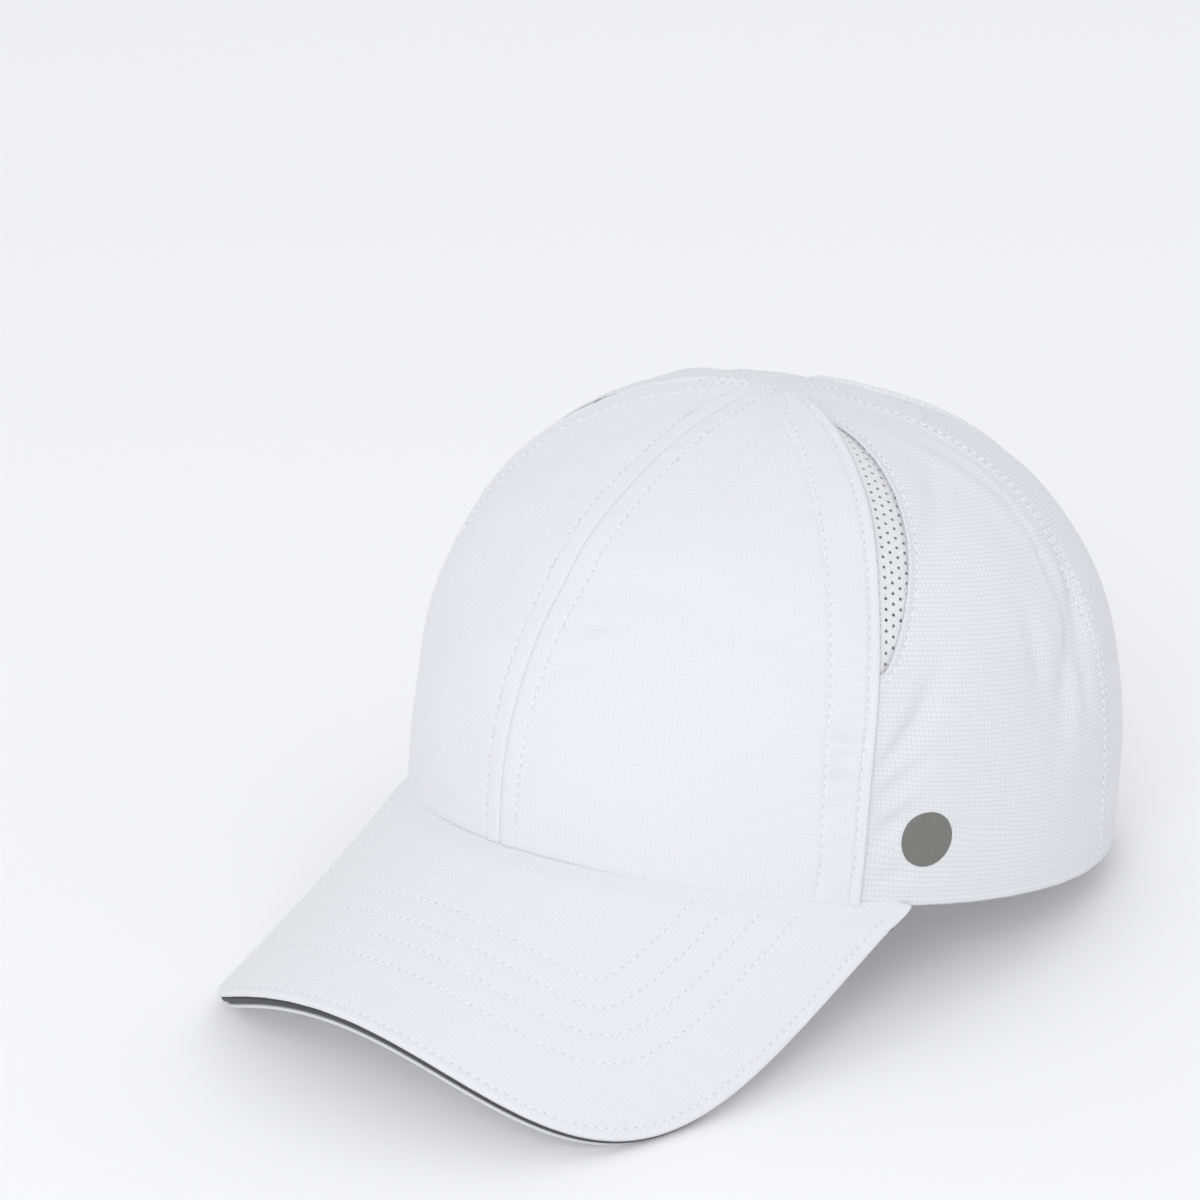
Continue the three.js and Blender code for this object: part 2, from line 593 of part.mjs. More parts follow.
function badgeGeometry() {
  const angle = BADGE_ANGLE * DEGREE;
  const height = heightAbove(angle, BADGE_HEIGHT - crownSkin(angle, 0).z);
  const frame = crownFrame(angle, height);
  const round = frame.perAngle.clone().normalize();
  const up = frame.normal.clone().cross(round).normalize();
  const inner = CLOTH_WALL / 2 + GAP;
  const place = (turn, radius, offset) => {
    const direction = round.clone().multiplyScalar(Math.cos(turn)).addScaledVector(up, Math.sin(turn));
    const solve = onSkin(frame, direction, radius);
    return rested(crownPoint(angle + solve.angle, height + solve.height, offset));
  };
  const positions = [];
  for (const offset of [inner, inner + BADGE_WALL]) {
    positions.push(...place(0, 0, offset).toArray());
    for (let ring = 1; ring <= BADGE_RINGS; ring += 1) {
      const radius = BADGE_DIAMETER / 2 * ring / BADGE_RINGS;
      for (let spoke = 0; spoke < BADGE_SPOKES; spoke += 1) {
        positions.push(...place(2 * Math.PI * spoke / BADGE_SPOKES, radius, offset).toArray());
      }
    }
  }
  const layer = 1 + BADGE_RINGS * BADGE_SPOKES;
  const at = (ring, spoke, side) => {
    const inLayer = ring ? 1 + (ring - 1) * BADGE_SPOKES + spoke % BADGE_SPOKES : 0;
    return side * layer + inLayer;
  };
  const faces = [];
  const quad = (a, b, c, d) => faces.push(a, b, c, a, c, d);
  for (let spoke = 0; spoke < BADGE_SPOKES; spoke += 1) {
    const next = spoke + 1;
    faces.push(at(0, 0, 1), at(1, spoke, 1), at(1, next, 1));
    faces.push(at(0, 0, 0), at(1, next, 0), at(1, spoke, 0));
    for (let ring = 1; ring < BADGE_RINGS; ring += 1) {
      quad(at(ring, spoke, 1), at(ring + 1, spoke, 1), at(ring + 1, next, 1), at(ring, next, 1));
      quad(at(ring, spoke, 0), at(ring, next, 0), at(ring + 1, next, 0), at(ring + 1, spoke, 0));
    }
    const [p, q] = [at(BADGE_RINGS, spoke, 0), at(BADGE_RINGS, next, 0)];
    const [r, t] = [at(BADGE_RINGS, next, 1), at(BADGE_RINGS, spoke, 1)];
    quad(p, q, r, t);
  }
  const geometry = new THREE.BufferGeometry();
  geometry.setAttribute('position', new THREE.Float32BufferAttribute(positions, 3));
  geometry.setIndex(faces);
  return geometry;
}

addPiece('side_badge', badgeGeometry(),
  new THREE.MeshStandardMaterial({ color: 0x6b6b66, roughness: 0.45, metalness: 0.2 }));

// Brim: upper cover, a contrast trim round the edge, lower cover

// skipped is how many columns the sheet stops short of each end of the brim
function brimSheet(rows, skipped, outAt, top, wall) {
  return sheetGeometry(BRIM_COLUMNS - 2 * skipped, rows, (i, j, side) => {
    const share = 2 * (i + skipped) / BRIM_COLUMNS - 1;
    const out = outAt(share, 1 - j / rows);
    const level = typeof top === 'function' ? top(share, out) : top;
    return brimPoint(share, out, side ? level : level - wall);
  });
}

addPiece('brim_upper', brimSheet(BRIM_ROWS, 0, (share, s) => s, 0, BRIM_UPPER_WALL), cloth(0xf1f1f3));

const trimOut = (share, s) => {
  const length = brimLength(share);
  const inner = Math.max(0, 1 - BRIM_TRIM_WIDTH / length);
  return lerp(inner, 1 + BRIM_TRIM_PROUD / length, s);
};
addPiece('brim_trim', brimSheet(TRIM_ROWS, TRIM_END_COLUMNS, trimOut, BRIM_TRIM_TOP, BRIM_TRIM_WALL),
  cloth(0x4c4c50));

addPiece('brim_lower', brimSheet(BRIM_ROWS, 0, (share, s) => s, brimLowerTop, BRIM_LOWER_WALL),
  cloth(0xeeeef0));

// The origin is at the middle of the footprint, on the surface that the cap rests on

for (const mesh of cap.children) mesh.geometry = mergeVertices(mesh.geometry, NUDGE);
const bounds = new THREE.Box3().setFromObject(cap);
const footprintCentre = bounds.getCenter(new THREE.Vector3());
cap.position.set(-footprintCentre.x, -footprintCentre.y, -bounds.min.z);

export default cap;
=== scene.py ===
import math

import bmesh
import bpy
import numpy as np
from mathutils import Matrix, Vector


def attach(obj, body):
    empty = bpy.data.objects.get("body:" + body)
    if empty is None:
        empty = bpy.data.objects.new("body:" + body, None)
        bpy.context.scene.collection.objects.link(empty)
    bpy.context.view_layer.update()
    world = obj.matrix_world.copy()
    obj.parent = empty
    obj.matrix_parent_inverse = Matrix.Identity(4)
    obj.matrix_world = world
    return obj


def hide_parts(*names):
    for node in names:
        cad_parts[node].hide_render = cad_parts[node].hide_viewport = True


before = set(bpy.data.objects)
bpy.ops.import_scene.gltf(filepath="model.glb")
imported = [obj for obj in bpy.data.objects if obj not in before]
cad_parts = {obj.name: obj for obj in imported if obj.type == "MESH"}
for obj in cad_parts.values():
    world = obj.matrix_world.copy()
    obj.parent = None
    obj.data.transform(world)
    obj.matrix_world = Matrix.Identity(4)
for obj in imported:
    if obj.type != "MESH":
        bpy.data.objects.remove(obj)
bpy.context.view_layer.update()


# The studio. A pale floor lit faintly from below, a pale surround, one broad soft light in front, and a
# camera that looks down past the tip of the brim at the wearer's left side.
def feed(material, node, inputs):
    """Gives inputs of a shader node their values, or wires them to outputs of other nodes."""
    for name, value in inputs.items():
        if isinstance(value, bpy.types.NodeSocket):
            material.node_tree.links.new(value, node.inputs[name])
        else:
            node.inputs[name].default_value = value


def feed_shader(material, inputs):
    feed(material, material.node_tree.nodes["Principled BSDF"], inputs)


def add_node(material, kind, inputs, **settings):
    node = material.node_tree.nodes.new("ShaderNode" + kind)
    for name, value in settings.items():
        setattr(node, name, value)
    feed(material, node, inputs)
    return node


def make_plain(name, colour, roughness):
    material = bpy.data.materials.new(name)
    material.use_nodes = True
    feed_shader(material, {"Base Color": (*colour, 1), "Roughness": roughness})
    return material


def make_object(name, bm, *materials):
    data = bpy.data.meshes.new(name)
    bm.to_mesh(data)
    bm.free()
    for material in materials:
        data.materials.append(material)
    made = bpy.data.objects.new(name, data)
    bpy.context.collection.objects.link(made)
    return made


floor_light = 0.10
floor_paint = make_plain("pale_floor", (0.84, 0.838, 0.845), 0.9)
feed_shader(floor_paint, {"Emission Color": (1, 1, 1, 1), "Emission Strength": floor_light})
floor_mesh = bmesh.new()
bmesh.ops.create_grid(floor_mesh, x_segments=1, y_segments=1, size=6)
floor = make_object("floor", floor_mesh, floor_paint)

surround = bpy.data.worlds.new("surround")
surround.use_nodes = True
feed(surround, surround.node_tree.nodes["Background"], {"Color": (0.985, 0.99, 1.0, 1), "Strength": 0.87})
bpy.context.scene.world = surround
bpy.context.scene.view_settings.view_transform = "Standard"


def hang_softbox(name, place, aim, width, watts):
    light = bpy.data.lights.new(name, "AREA")
    light.shape = "SQUARE"
    light.size = width
    light.energy = watts
    box = bpy.data.objects.new(name, light)
    box.location = place
    box.rotation_euler = (Vector(aim) - Vector(place)).to_track_quat("-Z", "Y").to_euler()
    bpy.context.collection.objects.link(box)


hang_softbox("front_softbox", place=(0.78, -1.42, 1.15), aim=(0, 0, 0.05), width=0.9, watts=9)

camera_place = Vector((0.5783, -0.6762, 0.4526))
camera_aim = Vector((-0.0210, -0.0071, 0.0810))
camera_roll = math.radians(-2.93)
lens = bpy.data.cameras.new("camera")
lens.sensor_width = 36
lens.lens = 118.19
camera = bpy.data.objects.new("camera", lens)
camera.location = camera_place
looking = (camera_aim - camera_place).to_track_quat("-Z", "Y").to_matrix()
camera.rotation_euler = (looking @ Matrix.Rotation(camera_roll, 3, "Z")).to_euler()
bpy.context.collection.objects.link(camera)
bpy.context.scene.camera = camera


# The crown's form. Six panels are sewn to one dome, longer than it is wide and fuller in front, with
# its rim a little higher over the brim. Millimetres and radians round the crown, the rim level behind.
crown_half_width = 85.7
crown_front_reach = 110.1
crown_back_reach = 83.6
crown_height = 109.5
side_widest_height = 19.3
top_lean = 6.5
top_point_shift = 12.9
front_rim_lift = 8.5
plan_power = 1.91
height_power = 0.79
front_fullness = 1.17
side_fullness = 0.77
back_fullness = 0.93
crown_slope_length = 165
soft_hollows = (
    (27, 0.23, 22, -0.115, 0.075, 1.80),
    (-30, 0.20, 20, 0.100, 0.080, 1.20),
    (92, 0.30, 12, 0.120, 0.060, 0.77),
    (-95, 0.26, 12, -0.100, 0.060, 0.77),
)


def smooth(share):
    share = np.clip(share, 0, 1)
    return share * share * (3 - 2 * share)


def round_the_crown(angle, degrees):
    return (np.degrees(angle) - degrees + 180) % 360 - 180


def hollow_depth(angle, height):
    depth = 0
    for at, up, run, rise, breadth, deep in soft_hollows:
        along = round_the_crown(angle, at) / run
        across = (height - up - rise * along) / breadth
        depth = depth + deep * np.exp(-along * along - across * across)
    return depth


def crown_skin(angle, height):
    ahead = np.cos(angle)
    front = np.where(ahead > 0, ahead**2, 0)
    back = np.where(ahead < 0, ahead**2, 0)
    side = 1 - front - back
    fullness = front * front_fullness + side * side_fullness + back * back_fullness
    widest = side * side_widest_height
    dome = crown_height - widest
    start = -np.arcsin((widest / dome) ** (1 / height_power))
    climb = start + (np.pi / 2 - start) * height
    shrink = np.abs(np.cos(climb)) ** fullness
    z = widest + dome * np.sign(np.sin(climb)) * np.abs(np.sin(climb)) ** height_power
    plan = (np.abs(np.sin(angle)) ** plan_power + np.abs(ahead) ** plan_power) ** (-1 / plan_power)
    reach = np.where(ahead > 0, crown_front_reach, crown_back_reach)
    inset = 1 - hollow_depth(angle, height) / crown_half_width
    x = crown_half_width * shrink * np.sin(angle) * plan * inset
    y = -reach * shrink * ahead * plan * inset
    y = y - top_lean * z / crown_height - top_point_shift * (1 - shrink) ** 2
    return np.stack([x, y, z + front_rim_lift * front * (1 - z / crown_height)], axis=-1)


def unit(vectors):
    return vectors / np.linalg.norm(vectors, axis=-1, keepdims=True)


def crown_slopes(angle, height):
    nudge = 1e-4
    per_angle = (crown_skin(angle + nudge, height) - crown_skin(angle - nudge, height)) / (2 * nudge)
    per_height = (crown_skin(angle, height + nudge) - crown_skin(angle, height - nudge)) / (2 * nudge)
    return per_angle, per_height


def crown_point(angle, height, offset):
    per_angle, per_height = crown_slopes(angle, np.minimum(height, 0.998))
    crest = smooth((np.asarray(height) - 0.95) / 0.0495)[..., None]
    outward = unit(np.cross(per_angle, per_height)) * (1 - crest) + np.array([0, 0, 1]) * crest
    return crown_skin(angle, height) + unit(outward) * np.asarray(offset)[..., None]


def millimetres_round(angle, height):
    return np.linalg.norm(crown_slopes(angle, height)[0], axis=-1)


# The cap sits on its back rim and the two front corners of its brim, with that cloth pressed flat.
rest_tilt = math.radians(10.990)
rest_shift = 36.917
rest_drop = -15.624


def set_down(points):
    y = points[..., 1] * math.cos(rest_tilt) + points[..., 2] * math.sin(rest_tilt)
    z = -points[..., 1] * math.sin(rest_tilt) + points[..., 2] * math.cos(rest_tilt)
    return np.stack([points[..., 0], y + rest_shift, np.maximum(z - rest_drop, 0)], axis=-1) / 1000


def on_crown(angle, height, offset):
    """A place on the crown as it rests, that many millimetres outside its skin."""
    return set_down(crown_point(angle, height, offset))


# The cloth. Thin white polyester with a fine raised check, so light that it gathers a little along
# every row of stitching. The check runs straight up each panel, as its pattern was cut.
check_pitch = 1.15


def weave_cloth(name, colour, groove_shade_colour, relief, pitch=check_pitch):
    material = make_plain(name, colour, 0.82)
    grain = add_node(material, "UVMap", {}, uv_map="grain")
    split = add_node(material, "SeparateXYZ", {0: grain.outputs["UV"]})
    cells = []
    for axis in ("X", "Y"):
        fold = add_node(material, "Math", {0: split.outputs[axis], 1: pitch / 2}, operation="PINGPONG")
        edge = {"Value": fold.outputs[0], "From Min": 0.02 * pitch, "From Max": 0.27 * pitch}
        cells.append(add_node(material, "MapRange", edge, interpolation_type="SMOOTHSTEP").outputs[0])
    cell = add_node(material, "Math", {0: cells[0], 1: cells[1]}, operation="MULTIPLY")
    place = add_node(material, "TexCoord", {}).outputs["Object"]
    uneven = add_node(material, "TexNoise", {"Scale": 900, "Detail": 3, "Vector": place})
    mottled = {0: uneven.outputs["Fac"], 1: 0.35, 2: cell.outputs[0]}
    shade = add_node(material, "Math", mottled, operation="MULTIPLY_ADD").outputs[0]
    # The grooves between the check's cells take the darker colour: painted shade of the weave's relief, on
    # top of its bump. The noise adds the cloth's own uneven tone.
    shades = {"A": (*groove_shade_colour, 1), "B": (*colour, 1), "Factor": shade}
    tint = add_node(material, "Mix", shades, data_type="RGBA")
    emboss = add_node(material, "Bump", {"Distance": relief, "Height": shade})
    rumple = add_node(material, "TexNoise", {"Scale": 120, "Detail": 2, "Vector": place})
    rippled = {"Strength": 0.35, "Distance": 0.0006, "Height": rumple.outputs["Fac"]}
    ripple = add_node(material, "Bump", {**rippled, "Normal": emboss.outputs["Normal"]})
    feed_shader(material, {"Sheen Weight": 0.12, "Sheen Roughness": 0.5, "Specular IOR Level": 0.3})
    feed_shader(material, {"Base Color": tint.outputs["Result"], "Normal": ripple.outputs["Normal"]})
    return material


def emboss_with(material, texture, output, scale, depth, strength=1):
    """Embosses a plain material with a fine texture, and returns that texture's output."""
    place = add_node(material, "TexCoord", {}).outputs["Object"]
    grain = add_node(material, texture, {"Scale": scale, "Vector": place}).outputs[output]
    emboss = add_node(material, "Bump", {"Strength": strength, "Distance": depth, "Height": grain})
    feed_shader(material, {"Normal": emboss.outputs["Normal"]})
    return grain


front_cloth = weave_cloth("front_cloth", (0.79, 0.79, 0.826), (0.757, 0.758, 0.795), 0.00003)
crown_cloth = weave_cloth("crown_cloth", (0.79, 0.79, 0.828), (0.70, 0.703, 0.742), 0.00006)


def gathers(along, seed):
    waves = ((5.3, 0.45), (8.1, 0.35), (3.6, 0.2), (13.0, 0.3))
    total = 0
    for number, (pitch, share) in enumerate(waves):
        total = total + share * np.sin(2 * np.pi * along / pitch + 1.7 * seed * (number + 1))
    return total


def ridge(distance, at, width):
    return np.exp(-(((distance - at) / width) ** 2))


def raised(distance, start, end, soft=0.8):
    return smooth((distance - start) / soft) * smooth((end - distance) / soft)


def fade(distance, width):
    return np.exp(-np.abs(distance) / width)


def turned_down(distance, width):
    """How far an edge bends over: 1 at the edge, 0 from the given width on."""
    return np.clip(1 - distance / width, 0, 1) ** 2


def quarter_round(distance, radius):
    return 1 - np.sqrt(1 - turned_down(distance, radius))


def run_along(points):
    """How far along a line each of its points lies."""
    return np.concatenate([[0], np.cumsum(np.linalg.norm(np.diff(points, axis=0), axis=1))])


def points_at(stops, run, points):
    return np.stack([np.interp(stops, run, points[:, axis]) for axis in range(3)], axis=-1)


def dress(name, bm, materials, wall=0):
    """Makes a mesh a piece of the cap. It gets a wall of that many millimetres behind it."""
    piece = make_object(name, bm, *materials)
    if wall:
        backing = piece.modifiers.new("wall", "SOLIDIFY")
        backing.thickness = wall / 1000
        backing.offset = -1
    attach(piece, "root")
    return piece


def lay_cloth(name, across, up, face, wall, material, grain=None):
    """A sheet of cloth: a grid laid on the surface that face gives, with a wall behind it."""
    columns = len(across) - 1
    rows = len(up) - 1
    bm = bmesh.new()
    bmesh.ops.create_grid(bm, x_segments=columns, y_segments=rows, size=1)
    bm.verts.ensure_lookup_table()
    flat = np.array([v.co[:2] for v in bm.verts])
    flat = (flat - flat.min(0)) / (flat.max(0) - flat.min(0))
    column = np.rint(flat[:, 0] * columns).astype(int)
    row = np.rint(flat[:, 1] * rows).astype(int)
    points = face(np.asarray(across)[column], np.asarray(up)[row])
    for vertex, point in zip(bm.verts, points):
        vertex.co = point
    table = np.zeros((rows + 1, columns + 1, 3))
    table[row, column] = points * 1000
    if callable(grain):
        threads = grain(np.asarray(across)[column], np.asarray(up)[row])
    else:
        steps = np.linalg.norm(np.diff(table, axis=1), axis=2)
        run = np.concatenate([np.zeros((rows + 1, 1)), np.cumsum(steps, axis=1)], axis=1)
        rise = run_along(table[:, columns // 2])
        if grain is None:
            run = run - run[:, columns // 2][:, None]
        else:
            heading = set_down(crown_skin(np.full(rows + 1, grain), np.asarray(up)))[:, None] * 1000
            nearest = np.linalg.norm(table - heading, axis=2).argmin(axis=1)
            for number, at in enumerate(nearest):
                low = min(max(at - 1, 0), columns - 1)
                gaps = np.linalg.norm(table[number, low : low + 2] - heading[number], axis=1)
                near_point, far_point = table[number, low], table[number, low + 1]
                length = np.linalg.norm(far_point - near_point)
                passed = (gaps[0] ** 2 - gaps[1] ** 2 + length**2) / (2 * max(length, 1e-6))
                run[number] -= run[number, low] + passed
        threads = np.stack([run[row, column], rise[row]], axis=1)
    layer = bm.loops.layers.uv.new("grain")
    for face_of in bm.faces:
        face_of.smooth = True
        for loop in face_of.loops:
            loop[layer].uv = threads[loop.vert.index]
    return dress(name, bm, [material], wall)


# Stitching. White thread in short even stitches that sink a little into the cloth, with the needle's
# hole showing between one stitch and the next as a flat grey disc of painted shade.
stitch_pitch = 2.4
stitch_length = 1.95
thread_width = 0.42
thread_height = 0.28
needle_hole = 0.145

thread = make_plain("white_thread", (0.86, 0.86, 0.885), 0.6)
# The grey of the needle holes is painted shade: the shade inside each hole, laid on as a flat disc.
painted_hole_shade = make_plain("painted_needle_hole_shade", (0.53, 0.53, 0.55), 0.9)


def sew(name, rows):
    """Rows of stitches. Each row is a run of points with outward directions, in metres."""
    joined = bmesh.new()
    for points, outward in rows:
        run = run_along(points * 1000)
        starts = np.arange(int(run[-1] // stitch_pitch)) * stitch_pitch
        stops = (starts, starts + stitch_length, starts + (stitch_length + stitch_pitch) / 2)
        marks = [points_at(stop, run, points) for stop in stops] + [points_at(starts, run, outward)]
        row = bmesh.new()
        for number in range(len(starts)):
            first, last, hole, up = (Vector(line[number]) for line in marks)
            along = (last - first) / 2
            if along.length < 1e-6:
                continue
            side = up.normalized().cross(along).normalized()
            up = along.cross(side).normalized()
            thread_sides = (along, side * thread_width / 2000, up * thread_height / 2000)
            turn = Matrix(thread_sides).transposed().to_4x4()
            turn.translation = (first + last) / 2 + up * 0.00005
            bmesh.ops.create_uvsphere(row, u_segments=6, v_segments=4, radius=1, matrix=turn)
            known = len(row.faces)
            # A flat grey disc over the needle hole, as painted shade of the hole.
            turn = Matrix((along.normalized(), side, up)).transposed().to_4x4()
            turn.translation = hole + up * 0.0001
            bmesh.ops.create_circle(row, cap_ends=True, segments=6, radius=needle_hole / 1000, matrix=turn)
            row.faces.ensure_lookup_table()
            for face_of in row.faces[known:]:
                face_of.material_index = 1
        part = bpy.data.meshes.new("row")
        row.to_mesh(part)
        row.free()
        joined.from_mesh(part)
        bpy.data.meshes.remove(part)
    for face_of in joined.faces:
        face_of.smooth = True
    dress(name, joined, [thread, painted_hole_shade])


def stitch_row(face, across, up):
    """The points and outward directions of a row that runs over a cloth surface."""
    nudge = 2e-3
    points = face(across, up)
    round_it = face(across + nudge, up) - face(across - nudge, up)
    up_it = face(across, up + nudge) - face(across, up - nudge)
    return points, unit(np.cross(round_it, up_it))


# Front panels. Two gores joined down the centre by a seam that is opened flat and stitched down on
# both sides. Their rear edges are folded over and lie on the side panels, with two rows of stitches.
front_step = 0.6
cloth_half_wall = 0.6
cloth_wall = 0.7
edge_row = 2.5
inner_row = 11.0
centre_row = 4.4
seam_at_rim = 55.4
seam_at_top = 61.7
front_crease_strength = 1.6
front_grain = math.radians(28)


def front_seam(height):
    return np.radians(seam_at_rim + (seam_at_top - seam_at_rim) * height)


def near_top(height):
    return smooth((1 - height) / 0.10)


def stroke(angle, height, at, up, slant, length, width, deep):
    """A crease in the cloth: how far it dips there, for a crease of that place, slant and size."""
    right = round_the_crown(angle, at) * np.pi / 180 * millimetres_round(np.radians(at), up)
    above = (height - up) * crown_slope_length
    tilt = math.radians(slant)
    along = right * math.cos(tilt) + above * math.sin(tilt)
    over = above * math.cos(tilt) - right * math.sin(tilt)
    return deep * np.exp(-((along / length) ** 2) - (over / width) ** 2)


def slack(angle, height):
    """The gentle unevenness of unlined cloth, in millimetres."""
    climb = height * crown_slope_length
    wave = 0.22 * np.sin(7 * angle + 0.055 * climb + 0.6) * np.sin(0.071 * climb + 2.2 * angle)
    wave += 0.16 * np.sin(13 * angle - 0.083 * climb + 1.9)
    wave += 0.10 * np.sin(21 * angle + 0.13 * climb)
    return wave * smooth(height / 0.08) * near_top(height)


front_creases = (
    (52.0, 0.150, 4, 4.5, 1.0, 0.80),
    (51.8, 0.128, -3, 4.0, 0.9, 0.75),
    (52.2, 0.180, 6, 3.8, 1.0, 0.60),
    (52.4, 0.095, 2, 3.8, 1.0, 0.50),
    (-52.0, 0.140, -5, 4.2, 1.0, 0.75),
    (-52.0, 0.110, 3, 4.0, 1.0, 0.55),
    (10.0, 0.300, 14, 7.0, 1.8, 0.60),
    (9.0, 0.235, 10, 6.0, 1.6, 0.50),
    (-10.0, 0.260, -12, 7.0, 1.8, 0.60),
    (30.0, 0.180, 24, 22.0, 4.5, 0.80),
    (15.0, 0.370, 8, 20.0, 7.0, 0.80),
    (35.0, 0.330, -6, 17.0, 6.5, 0.65),
    (-24.0, 0.340, -10, 20.0, 7.0, 0.80),
    (4.5, 0.085, 80, 8.0, 2.0, 0.45),
)


def front_row_places(height, room):
    """How far the centre row lies from the centre seam, and the inner and edge rows from the edge."""
    bow = 1.2 * np.sin(np.pi * height)
    centre_at = np.minimum(centre_row + bow, 0.3 * room)
    return centre_at, np.minimum(inner_row + bow, 0.45 * room), np.minimum(edge_row, 0.12 * room)


def front_relief(angle, height):
    wide = millimetres_round(angle, height)
    from_centre = np.abs(angle) * wide
    from_edge = (front_seam(height) - np.abs(angle)) * wide
    above_rim = height * crown_slope_length
    centre_at, inner_at, edge_at = front_row_places(height, front_seam(height) * wide)
    side = np.where(angle > 0, 1.0, 2.6)
    relief = 0.20 * raised(from_centre, 0.1, centre_at, 1.3) - 0.20 * ridge(from_centre, 0, 0.7)
    relief -= 0.16 * ridge(from_centre, centre_at, 0.5)
    band = raised(from_centre, 0, centre_at + 1.5, 1.5)
    relief += 0.20 * gathers(1.6 * above_rim - 0.9 * from_centre, side + 15) * band
    relief += 0.42 * raised(from_edge, -1, edge_at) - 0.30 * ridge(from_edge, edge_at, 0.5)
    relief += 0.22 * raised(from_edge, edge_at, inner_at) - 0.26 * ridge(from_edge, inner_at, 0.5)
    relief += 0.20 * gathers(above_rim, side) * fade(from_centre - centre_at, 2.6)
    relief += 0.24 * gathers(above_rim, side + 3) * fade(from_edge - edge_at, 2.8)
    relief += 0.21 * gathers(above_rim, side + 7) * fade(from_edge - inner_at, 3.0)
    strip = raised(from_edge, edge_at, inner_at, 2.5)
    relief += 0.20 * gathers(above_rim + 0.35 * from_edge, side + 11) * strip
    relief -= 0.40 * turned_down(from_edge, 0.45) + 0.35 * turned_down(above_rim, 0.9)
    relief = relief * near_top(height) + slack(angle, height)
    for crease in front_creases:
        relief -= front_crease_strength * stroke(angle, height, *crease)
    return relief


def front_face(angle, height):
    step = front_step * near_top(height)
    return on_crown(angle, height, step + cloth_half_wall + front_relief(angle, height))


def spaced(stops, counts):
    """Shares from 0 to 1 with the given numbers of even steps between the given stops."""
    shares = [np.linspace(a, b, n, endpoint=False) for a, b, n in zip(stops, stops[1:], counts)]
    return np.concatenate(shares + [[stops[-1]]])


panel_top = 0.9999
panel_rows = spaced((0, 0.012, 0.1, 0.93, panel_top), (5, 12, 92, 14))
front_stops = (0, 0.2, 0.6, 1)
front_columns = spaced(front_stops, (20, 50, 40))

for side, hand in (("left", 1), ("right", -1)):
    shares = front_columns if hand > 0 else 1 - front_columns[::-1]

    def front_panel(share, height, hand=hand):
        room = front_seam(height) * millimetres_round(hand * front_seam(height) / 2, height)
        near = np.minimum(centre_row + 2.4, 0.35 * room) / room
        far = 1 - np.minimum(inner_row + 2.6, 0.5 * room) / room
        across = share if hand > 0 else 1 - share
        first = near * across / front_stops[1]
        middle = near + (far - near) * (across - front_stops[1]) / (front_stops[2] - front_stops[1])
        last = far + (1 - far) * (across - front_stops[2]) / (1 - front_stops[2])
        across = np.where(across < front_stops[1], first, np.where(across < front_stops[2], middle, last))
        return front_face(hand * across * front_seam(height), height)

    panel = lay_cloth(
        f"front_cloth_{side}", shares, panel_rows, front_panel, cloth_wall, front_cloth,
        grain=hand * front_grain,
    )
    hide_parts(f"front_panel_{side}")

row_heights = np.linspace(0.012, 0.985, 260)
front_rows = []
for hand in (1, -1):
    seam = front_seam(row_heights)
    room = seam * millimetres_round(hand * seam / 2, row_heights)
    centre_at, inner_at, edge_at = front_row_places(row_heights, room)
    round_at_centre = millimetres_round(0 * row_heights + 0.04, row_heights)
    round_at_edge = millimetres_round(hand * seam * 0.95, row_heights)
    inner_angle = seam - inner_at / round_at_edge
    for row_angle in (centre_at / round_at_centre, seam - edge_at / round_at_edge, inner_angle):
        front_rows.append(stitch_row(front_face, hand * row_angle, row_heights))
sew("front_stitching", front_rows)


# Side panels. Each is cut away in front in a long crescent for the vent, with its edge turned under
# and stitched. Its rear edge is felled over the back panel in a narrow raised seam.
vent_bottom = 0.27
vent_top = 0.84
vent_width_at_middle = 8.0
turned_row = 2.3
felled_row = 1.6
felled_width = 5.0
back_seam_at_rim = 107.2
back_seam_at_top = 93.5
side_crease_strength = 1.2
side_grain = math.radians(82)


def back_seam(height):
    return np.radians(back_seam_at_rim + (back_seam_at_top - back_seam_at_rim) * height)


def vent_width(height):
    share = np.clip((height - vent_bottom) / (vent_top - vent_bottom), 0, 1)
    return vent_width_at_middle * np.maximum(np.sin(np.pi * share**0.8), 0) ** 0.8


side_creases = (
    (61.0, 0.178, 47, 8.5, 1.9, 1.70),
    (60.6, 0.124, 36, 7.5, 1.7, 1.50),
    (60.2, 0.078, 27, 7.0, 1.6, 1.30),
    (59.8, 0.034, 15, 6.5, 1.5, 0.90),
    (64.0, 0.232, 60, 10.0, 2.6, 1.30),
    (97.0, 0.330, 84, 20.0, 3.0, 2.00),
    (90.5, 0.250, 74, 16.0, 3.4, 1.60),
    (84.0, 0.300, 96, 15.0, 3.2, 1.00),
    (74.0, 0.600, 65, 16.0, 3.6, 1.10),
    (-60.8, 0.156, 138, 7.5, 1.9, 1.50),
    (-60.4, 0.096, 148, 7.0, 1.7, 1.30),
    (-60.0, 0.047, 160, 6.5, 1.6, 0.90),
    (-96.0, 0.300, 97, 18.0, 3.1, 1.80),
    (-88.0, 0.240, 105, 15.0, 3.3, 1.30),
)


